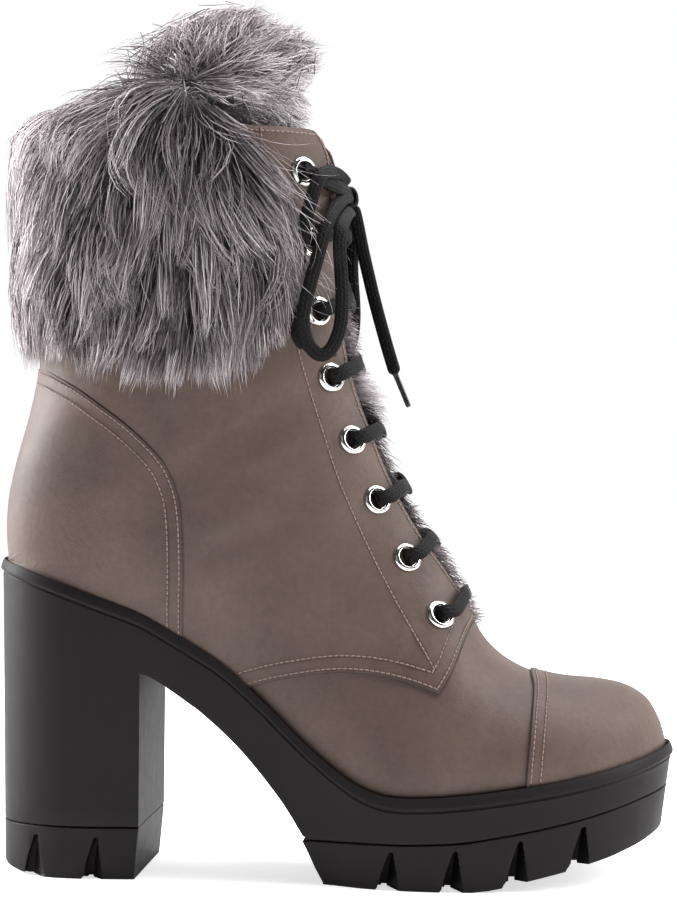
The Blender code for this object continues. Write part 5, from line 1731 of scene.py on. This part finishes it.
def nearest(spots, leads):
    """For each spot the number of the lead that lies closest."""
    return np.concatenate([((spots[k:k + 1000, None] - leads) ** 2).sum(-1).argmin(1)
                           for k in range(0, len(spots), 1000)])


def gathered(path, leaders):
    """Draw hairs towards the nearest leader, more so at their tips."""
    lock = nearest(path[:, 0], leaders[:, 0])
    lead = leaders[lock]
    t = np.linspace(0.0, 1.0, path.shape[1])[None, :, None]
    goal = lead + (path[:, :1] - lead[:, :1]) * (1.0 - 0.78 * t)
    weight = 0.8 * t ** 1.1
    return path * (1.0 - weight) + goal * weight, lock


def trimmed(path, inside, points):
    """Cut each hair where it leaves the fur's region and share its points out again."""
    steps = path.shape[1] - 1
    out = ~inside
    first = np.where(out.any(1), out.argmax(1), steps + 1) - 1
    t = np.linspace(0.0, 1.0, points)[None, :] * np.clip(first, 0, steps)[:, None]
    a = np.minimum(t.astype(int), steps - 1)
    f = (t - a)[..., None]
    k = np.arange(len(path))[:, None]
    return path[k, a] * (1 - f) + path[k, a + 1] * f, first / steps


# How thick a hair is at each of its points but the last, for hairs of 5 and of 6 points.
HAIR_TAPER = {5: (0.7, 1.0, 0.85, 0.5), 6: (0.7, 1.0, 0.95, 0.75, 0.42)}


def hairs(name, paths, tone, width):
    """Closed, tapered, three-sided hairs."""
    n, m = paths.shape[:2]
    d = unit(np.gradient(paths, axis=1))
    a = unit(np.cross(d, chance.normal(size=(n, 1, 3))))
    b = np.cross(d, a)
    radius = 0.5 * width[:, None, None] * np.array(HAIR_TAPER[m])[:, None]
    turn = full_turn(3)
    ring = tube(paths[:, :-1], a[:, :-1], b[:, :-1], radius * np.cos(turn),
                radius * np.sin(turn))
    verts = np.concatenate([ring.reshape(n, -1, 3), paths[:, -1:, :]], axis=1)
    size = verts.shape[1]
    last = (m - 2) * 3
    ends = ((last, last + 1, size - 1), (last + 1, last + 2, size - 1),
            (last + 2, last, size - 1), (2, 1, 0))
    t = np.concatenate([np.repeat(np.arange(m - 1) / (m - 1.0), 3), [1.0]])
    u = np.concatenate([np.tile((0.0, 0.004, 0.008), m - 1), [0.004]])
    place = np.broadcast_arrays(np.clip(tone, 0.0, 0.98)[:, None] + u, t)
    return mesh_piece(name, verts.reshape(-1, 3),
                      [repeated(grid_faces(m - 1, 3, closed=True), n, size),
                       repeated(ends, n, size)],
                      coat, strip=np.stack(place, axis=-1).reshape(-1, 2))


BRIGHT = (
    # x, z, half width, half height, how much lighter: where the coat catches the light
    (-98.0, 266.0, 22.0, 22.0, 0.42), (-113.0, 226.0, 9.0, 32.0, 0.30),
    (-60.0, 274.0, 14.0, 9.0, 0.22))
HOLLOWS = (
    # x, z, half width, half height of the places where the locks part on the outer side
    (-95.0, 218.0, 3.5, 7.0), (-65.0, 211.0, 4.0, 9.0), (-44.0, 274.0, 7.0, 4.5),
    (-78.0, 246.0, 2.5, 7.0), (-35.0, 226.0, 2.5, 7.0), (-107.0, 250.0, 2.0, 6.0))


def nearness(points, x, z, wide, high):
    """How near points lie to a place seen from the side, from 0 to 1."""
    return np.exp(-((points[..., 0] - x) / wide) ** 2 - ((points[..., 2] - z) / high) ** 2)


def cuff_hairs(name, count, low, high, points, width):
    """Guard hair over a stretch of the cuff, between two distances round the shaft."""
    def scatter(number):
        girth = chance.uniform(low, high, number)
        top, hem = cuff_value(girth, 3), cuff_value(girth, 1)
        z = hem + 10.0 + (top - hem - 11.0) * chance.uniform(0.0, 1.0, number) ** 0.85
        keep = np.abs(girth) < along(CUFF_FRONT, z) * GIRTH - 4.0
        return girth[keep], z[keep], chance.uniform(26.0, 42.0, keep.sum())

    girth, z, length = scatter(int((high - low) / GIRTH * LOCKS))
    leads = len(girth)
    leaders = grow(girth, z, length, chance.normal(0.0, 0.16, leads),
                   chance.normal(0.0, 0.30, leads))
    lead_tone = chance.uniform(0.0, 1.0, leads)
    lead_high = chance.uniform(0.72, 1.05, leads)
    jag = chance.normal(0.0, 2.4, leads)

    girth, z, length = scatter(count)
    path = grow(girth, z, length, chance.normal(0.0, 0.10, len(girth)),
                chance.normal(0.0, 0.18, len(girth)))
    path, lock = gathered(path, leaders)
    reach = (jag[lock] + chance.normal(0.0, 1.6, len(path)))[:, None]
    inside = ((path[..., 1] > cuff_value(path[..., 0], 1) - 1.0 + reach)
              & (np.abs(path[..., 0]) < along(CUFF_FRONT, path[..., 1]) * GIRTH + reach * 0.9))
    inside[:, 0] = True
    path, kept = trimmed(path, inside, points)
    long = kept * length > 7.0
    path, lock = path[long], lock[long]
    t = np.linspace(0.0, 1.0, points)[None, :]
    high_end = (lead_high[lock] * chance.uniform(0.72, 1.08, len(path)))[:, None]
    rise = 0.30 + (high_end - 0.30) * np.minimum(1.0, t / 0.45) ** 0.8
    lift = envelope(path[..., 0], path[..., 1]) * rise
    lift += chance.normal(0.0, 0.8, len(path))[:, None] * t
    z = path[..., 1] + chance.normal(0.0, 0.5, len(path))[:, None] * t
    tone = 0.42 * lead_tone[lock] + 0.58 * chance.uniform(0.0, 1.0, len(path))
    hair = on_shaft(path[..., 0], z, lift)
    for *spot, lighter in BRIGHT:
        tone += lighter * nearness(hair[:, points // 2], *spot)
    cover = np.max([nearness(hair, *spot).max(1) for spot in HOLLOWS], axis=0)
    stay = chance.random(len(path)) > 0.86 * cover * (hair[:, 0, 1] < 0)
    return hairs(name, hair[stay], tone[stay],
                 width * chance.uniform(0.7, 1.3, len(path))[stay])


def flyaways(count):
    """Long stray hairs that cross from the cuff's front edge over the facing."""
    z = chance.uniform(206.0, 266.0, count)
    g = along(CUFF_FRONT, z) * GIRTH - chance.uniform(0.0, 10.0, count)
    length = chance.uniform(12.0, 24.0, count)
    slope = np.radians(chance.normal(-46.0, 10.0, count))
    t = np.linspace(0.0, 1.0, 6)[None, :]
    bend = slope[:, None] + np.radians(chance.normal(-4.0, 16.0, count))[:, None] * t
    girth = g[:, None] + length[:, None] * t * np.cos(bend)
    high = z[:, None] + length[:, None] * t * np.sin(bend)
    lift = 4.5 + chance.uniform(1.5, 7.5, count)[:, None] * np.sqrt(t)
    side = np.where(chance.random(count) < 0.7, -1.0, 1.0)[:, None]
    girth = np.minimum(girth, 0.985 * GIRTH)
    return hairs("cuff_flyaway_hair", on_shaft(side * girth, high, lift),
                 chance.uniform(0.55, 1.0, count), 0.22 * chance.uniform(0.7, 1.2, count))


def cuff_bed():
    """The undercoat: a closed ring that follows the collar, open at the front."""
    loops = []
    for k in range(-80, 81):
        part = k / 80.0
        g = part * GIRTH * along(CUFF_FRONT, 230.0)
        hem, deep, top = (float(cuff_value(np.array(g), c)) for c in (1, 2, 3))
        thin = 1.0 - 0.45 * abs(part) ** 8
        wave = 0.6 * math.sin(k * 1.9) + 0.5 * math.sin(k * 0.83 + 1.0)
        spots = ((hem + 12.0, 0.9), (COLLAR_Z, 0.9), (COLLAR_Z + 1.0, -1.6), (COLLAR_Z, -4.9),
                 (252.0, -4.9), (247.0, -6.2), (256.0, -7.8), (COLLAR_Z, -8.0), (top - 9.0, -3.2),
                 (top - 5.0 + wave, 1.6), (top - 9.0, deep * 0.42), (262.0, deep * 0.56),
                 (250.0, deep * 0.58 + wave), (225.0, deep * 0.58 - wave),
                 (205.0, deep * 0.55 + wave), (hem + 22.0, deep * 0.45), (hem + 11.0 + wave, 2.2))
        loop = []
        for z, lift in spots:
            share = abs(part) * along(CUFF_FRONT, z) * GIRTH * (-1 if k < 0 else 1)
            loop.append((share * 0.97, z, lift * thin if lift > 2.0 else lift))
        loops.append(loop)
    points = on_shaft(*np.moveaxis(np.array(loops), -1, 0))
    return outward(mesh_piece("cuff_undercoat", points.reshape(-1, 3),
                              capped(*points.shape[:2]), undercoat))


fit(cuff_bed(), "taupe_fur", "fur_cuff")
for name, count, low, high, points, width in (
        ("cuff_fur_outer_back", 4700, -66.0, 4.0, 6, 0.42),
        ("cuff_fur_outer_front", 5400, -124.0, -64.0, 6, 0.42),
        ("cuff_fur_inner", 6200, 2.0, 124.0, 5, 0.50)):
    fit(cuff_hairs(name, count, low, high, points, width), "taupe_fur")
fit(flyaways(80), "taupe_fur")


def lining_hairs(count):
    """Short hair that lines the collar and leans over its top."""
    g = chance.uniform(-0.70 * GIRTH, 0.70 * GIRTH, count)
    top = cuff_value(g, 3)
    z0 = chance.uniform(0.0, 1.0, count) * (top - 8.0 - 246.0) + 246.0
    t = np.linspace(0.0, 1.0, 5)[None, :]
    z = z0[:, None] + chance.normal(3.0, 5.0, count)[:, None] * t
    lift = -6.5 - 3.0 * t - chance.uniform(0.0, 3.0, count)[:, None] * t
    girth = g[:, None] + chance.normal(0.0, 4.0, count)[:, None] * t
    return hairs("collar_lining_fur", on_shaft(girth, z, lift), chance.uniform(0.0, 0.8, count),
                 0.5 * chance.uniform(0.7, 1.2, count))


fit(lining_hairs(1500), "taupe_fur")


# ---------------------------------------------------------------- plume
# The tongue's top carries a round brush of the same hair, which stands above the collar.
PLUME_HEART = (-42.0, 285.0)
PLUME_REACH = (
    # direction in degrees, reach seen from the side
    (-110.0, 21.0), (-90.0, 19.0), (-60.0, 20.0), (-32.0, 28.0), (-18.0, 31.5), (-6.0, 29.5),
    (4.0, 29.0), (9.0, 31.0), (15.5, 36.5), (22.8, 40.0), (28.0, 39.0), (40.6, 36.5),
    (55.0, 35.0), (69.0, 35.0), (83.0, 33.0), (106.0, 31.5), (116.6, 32.5), (132.0, 32.0),
    (147.0, 32.5), (159.0, 34.5), (180.0, 33.0), (215.0, 27.0), (250.0, 21.0))
PLUME_HALF = 27.0


def plume_place(direction, share, depth, side):
    """A point of the plume: direction seen from the side, share of the reach, share of the
    half width and side."""
    a = np.radians((direction + 110.0) % 360.0 - 110.0)
    reach = along(PLUME_REACH, np.degrees(a)) * share
    deep = side * depth * PLUME_HALF * np.sqrt(1.0 - np.clip(share, 0.0, 1.0) ** 2)
    return np.stack([PLUME_HEART[0] + reach * np.cos(a), deep,
                     PLUME_HEART[1] + reach * np.sin(a)], axis=-1)


def plume_hairs(count):
    lead = 150
    lead_dir = chance.uniform(-60.0, 215.0, lead)
    lead_share = chance.uniform(0.0, 0.75, lead)
    lead_side = np.where(chance.random(lead) < 0.6, -1.0, 1.0)
    lead_turn = chance.normal(0.0, 13.0, lead)
    lead_tone = chance.uniform(0.1, 1.0, lead)
    lead_end = chance.uniform(0.96, 1.10, lead)

    direction = chance.uniform(-60.0, 215.0, count)
    share = chance.uniform(0.0, 0.80, count) ** 0.9
    side = np.where(chance.random(count) < 0.6, -1.0, 1.0)
    lock = nearest(*(np.stack([np.maximum(s, 0.45) * np.cos(np.radians(a)),
                               np.maximum(s, 0.45) * np.sin(np.radians(a)), s, b * 0.6], axis=1)
                     for s, a, b in ((share, direction, side),
                                     (lead_share, lead_dir, lead_side))))
    t = np.linspace(0.0, 1.0, 5)[None, :]
    turn = (lead_turn[lock] + chance.normal(0.0, 6.0, count))[:, None]
    own = direction[:, None] + turn * t
    goal_dir = turn + (lead_dir[lock] * 0.65 + direction * 0.35)[:, None]
    path_dir = own + (goal_dir - own) * 0.75 * t ** 1.2
    end = np.minimum(share + chance.uniform(0.42, 0.62, count), lead_end[lock]
                     * chance.uniform(0.93, 1.03, count))[:, None]
    path_share = share[:, None] + (end - share[:, None]) * t
    depth = 0.72 + (chance.uniform(0.80, 1.15, count)[:, None] - 0.72) * np.minimum(1.0, t * 2.0)
    points = plume_place(path_dir, path_share, depth, side[:, None])
    edge = np.clip((share - 0.55) / 0.25, 0.0, 1.0)
    points[..., 1] *= 1.0 - (edge * chance.uniform(0.0, 0.8, count))[:, None]
    points[..., 2] -= (chance.uniform(0.0, 2.2, count)[:, None]) * t ** 2
    astray = np.stack([chance.uniform(-15.0, 5.0, count), np.zeros(count),
                       chance.normal(-1.5, 3.0, count)], axis=1)
    points += astray[:, None, :] * ((1.0 - t) ** 1.5)[..., None]
    # Tones start 0.26 higher than on the cuff: painted light, the same hair made lighter where the plume stands up
    # into the light.
    tone = 0.26 + 0.40 * lead_tone[lock] + 0.60 * chance.uniform(0.0, 1.0, count)
    return hairs("plume_fur", points, tone, 0.42 * chance.uniform(0.7, 1.3, count))


def plume_bed():
    """The undercoat under the plume, a closed ball of its shape."""
    around = 48
    heart = np.array((PLUME_HEART[0], 0.0, PLUME_HEART[1]))
    half = PLUME_HALF * 0.72
    rise = np.radians(np.linspace(-90.0, 90.0, 21)[1:-1])
    rings = []
    for b in rise:
        ring = plume_place(np.arange(around) * 7.5, np.full(around, math.cos(b)), 0.0, 1.0)
        ring = (ring - heart) * 0.74
        ring[:, 1] = half * math.sin(b)
        rings.append(ring + heart)
    poles = heart + ((0.0, -half, 0.0), (0.0, half, 0.0))
    k, n = np.arange(around), len(rise)
    after, pole, last = (k + 1) % around, np.full(around, n * around), (n - 1) * around
    faces = [grid_faces(n, around, closed=True), np.stack([pole, after, k], axis=1),
             np.stack([pole + 1, last + k, last + after], axis=1)]
    return outward(mesh_piece("plume_undercoat", np.concatenate([*rings, poles]), faces,
                              undercoat))


fit(plume_bed(), "taupe_fur", "tongue_fur")
fit(plume_hairs(6000), "taupe_fur")


# ---------------------------------------------------------------- fur on the tongue
# Down the tongue's face the hair is shorter and shows in tufts between the crossings.
TONGUE_FUR = (
    # row, how far the hair stands out of the throat, how light it is (darker where the hair lies sunk under the
    # crossings: painted shade)
    (10.2, 1.5, 0.8), (10.9, 2.0, 0.9), (11.4, 2.5, 0.8), (12.2, 0.0, 0.6), (13.0, 0.5, 0.8),
    (14.0, -2.5, 0.4), (15.2, -4.0, 0.4), (16.4, -3.5, 0.5), (17.6, -0.5, 0.8),
    (18.8, 3.4, 1.1), (20.0, 0.5, 1.0), (21.5, -3.0, 0.6), (23.4, -0.5, 0.8), (25.0, -3.0, 0.5),
    (26.5, -4.0, 0.4), (28.0, -4.5, 0.3), (30.5, -5.0, 0.3))


def tongue_hairs(count):
    lead = 90
    lead_row = chance.uniform(10.3, 30.6, lead)
    lead_width = chance.uniform(-7.0, 7.0, lead)
    lead_tone = chance.uniform(0.3, 1.0, lead)
    row = chance.uniform(10.3, 30.6, count)
    half = np.minimum(along(THROAT, row), 10.0)
    width = chance.uniform(-1.0, 1.0, count) * half
    lock = nearest(np.stack([row * 8.0, width], axis=1),
                   np.stack([lead_row * 8.0, lead_width], axis=1))
    t = np.linspace(0.0, 1.0, 5)[None, :]
    reach = along([r[:2] for r in TONGUE_FUR], row) + chance.normal(0.0, 1.2, count)
    # Darker where the hair lies sunk under the lace crossings: painted shade.
    light = along([(r[0], r[2]) for r in TONGUE_FUR], row)
    drift = 0.55 * (lead_row[lock] - row) + chance.normal(-0.75, 0.30, count)
    rows = row[:, None] + drift[:, None] * t
    widths = width[:, None] * (1.0 - 0.2 * t) + 0.4 * (lead_width[lock] - width)[:, None] * t
    lift = (TONGUE_OUT + 0.3) + (reach - TONGUE_OUT)[:, None] * np.sin(t * 1.45)
    tone = light * (0.35 + 0.35 * lead_tone[lock] + 0.4 * chance.uniform(0.0, 1.0, count))
    return hairs("tongue_face_fur", over_throat(rows, widths, lift), tone,
                 0.40 * chance.uniform(0.75, 1.25, count))


fit(tongue_hairs(2200), "taupe_fur")


shown_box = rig.bounds()
with open("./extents.json", "w") as sizes:
    json.dump({"cad": [list(p) for p in cad_box], "shown": [list(p) for p in shown_box]}, sizes)
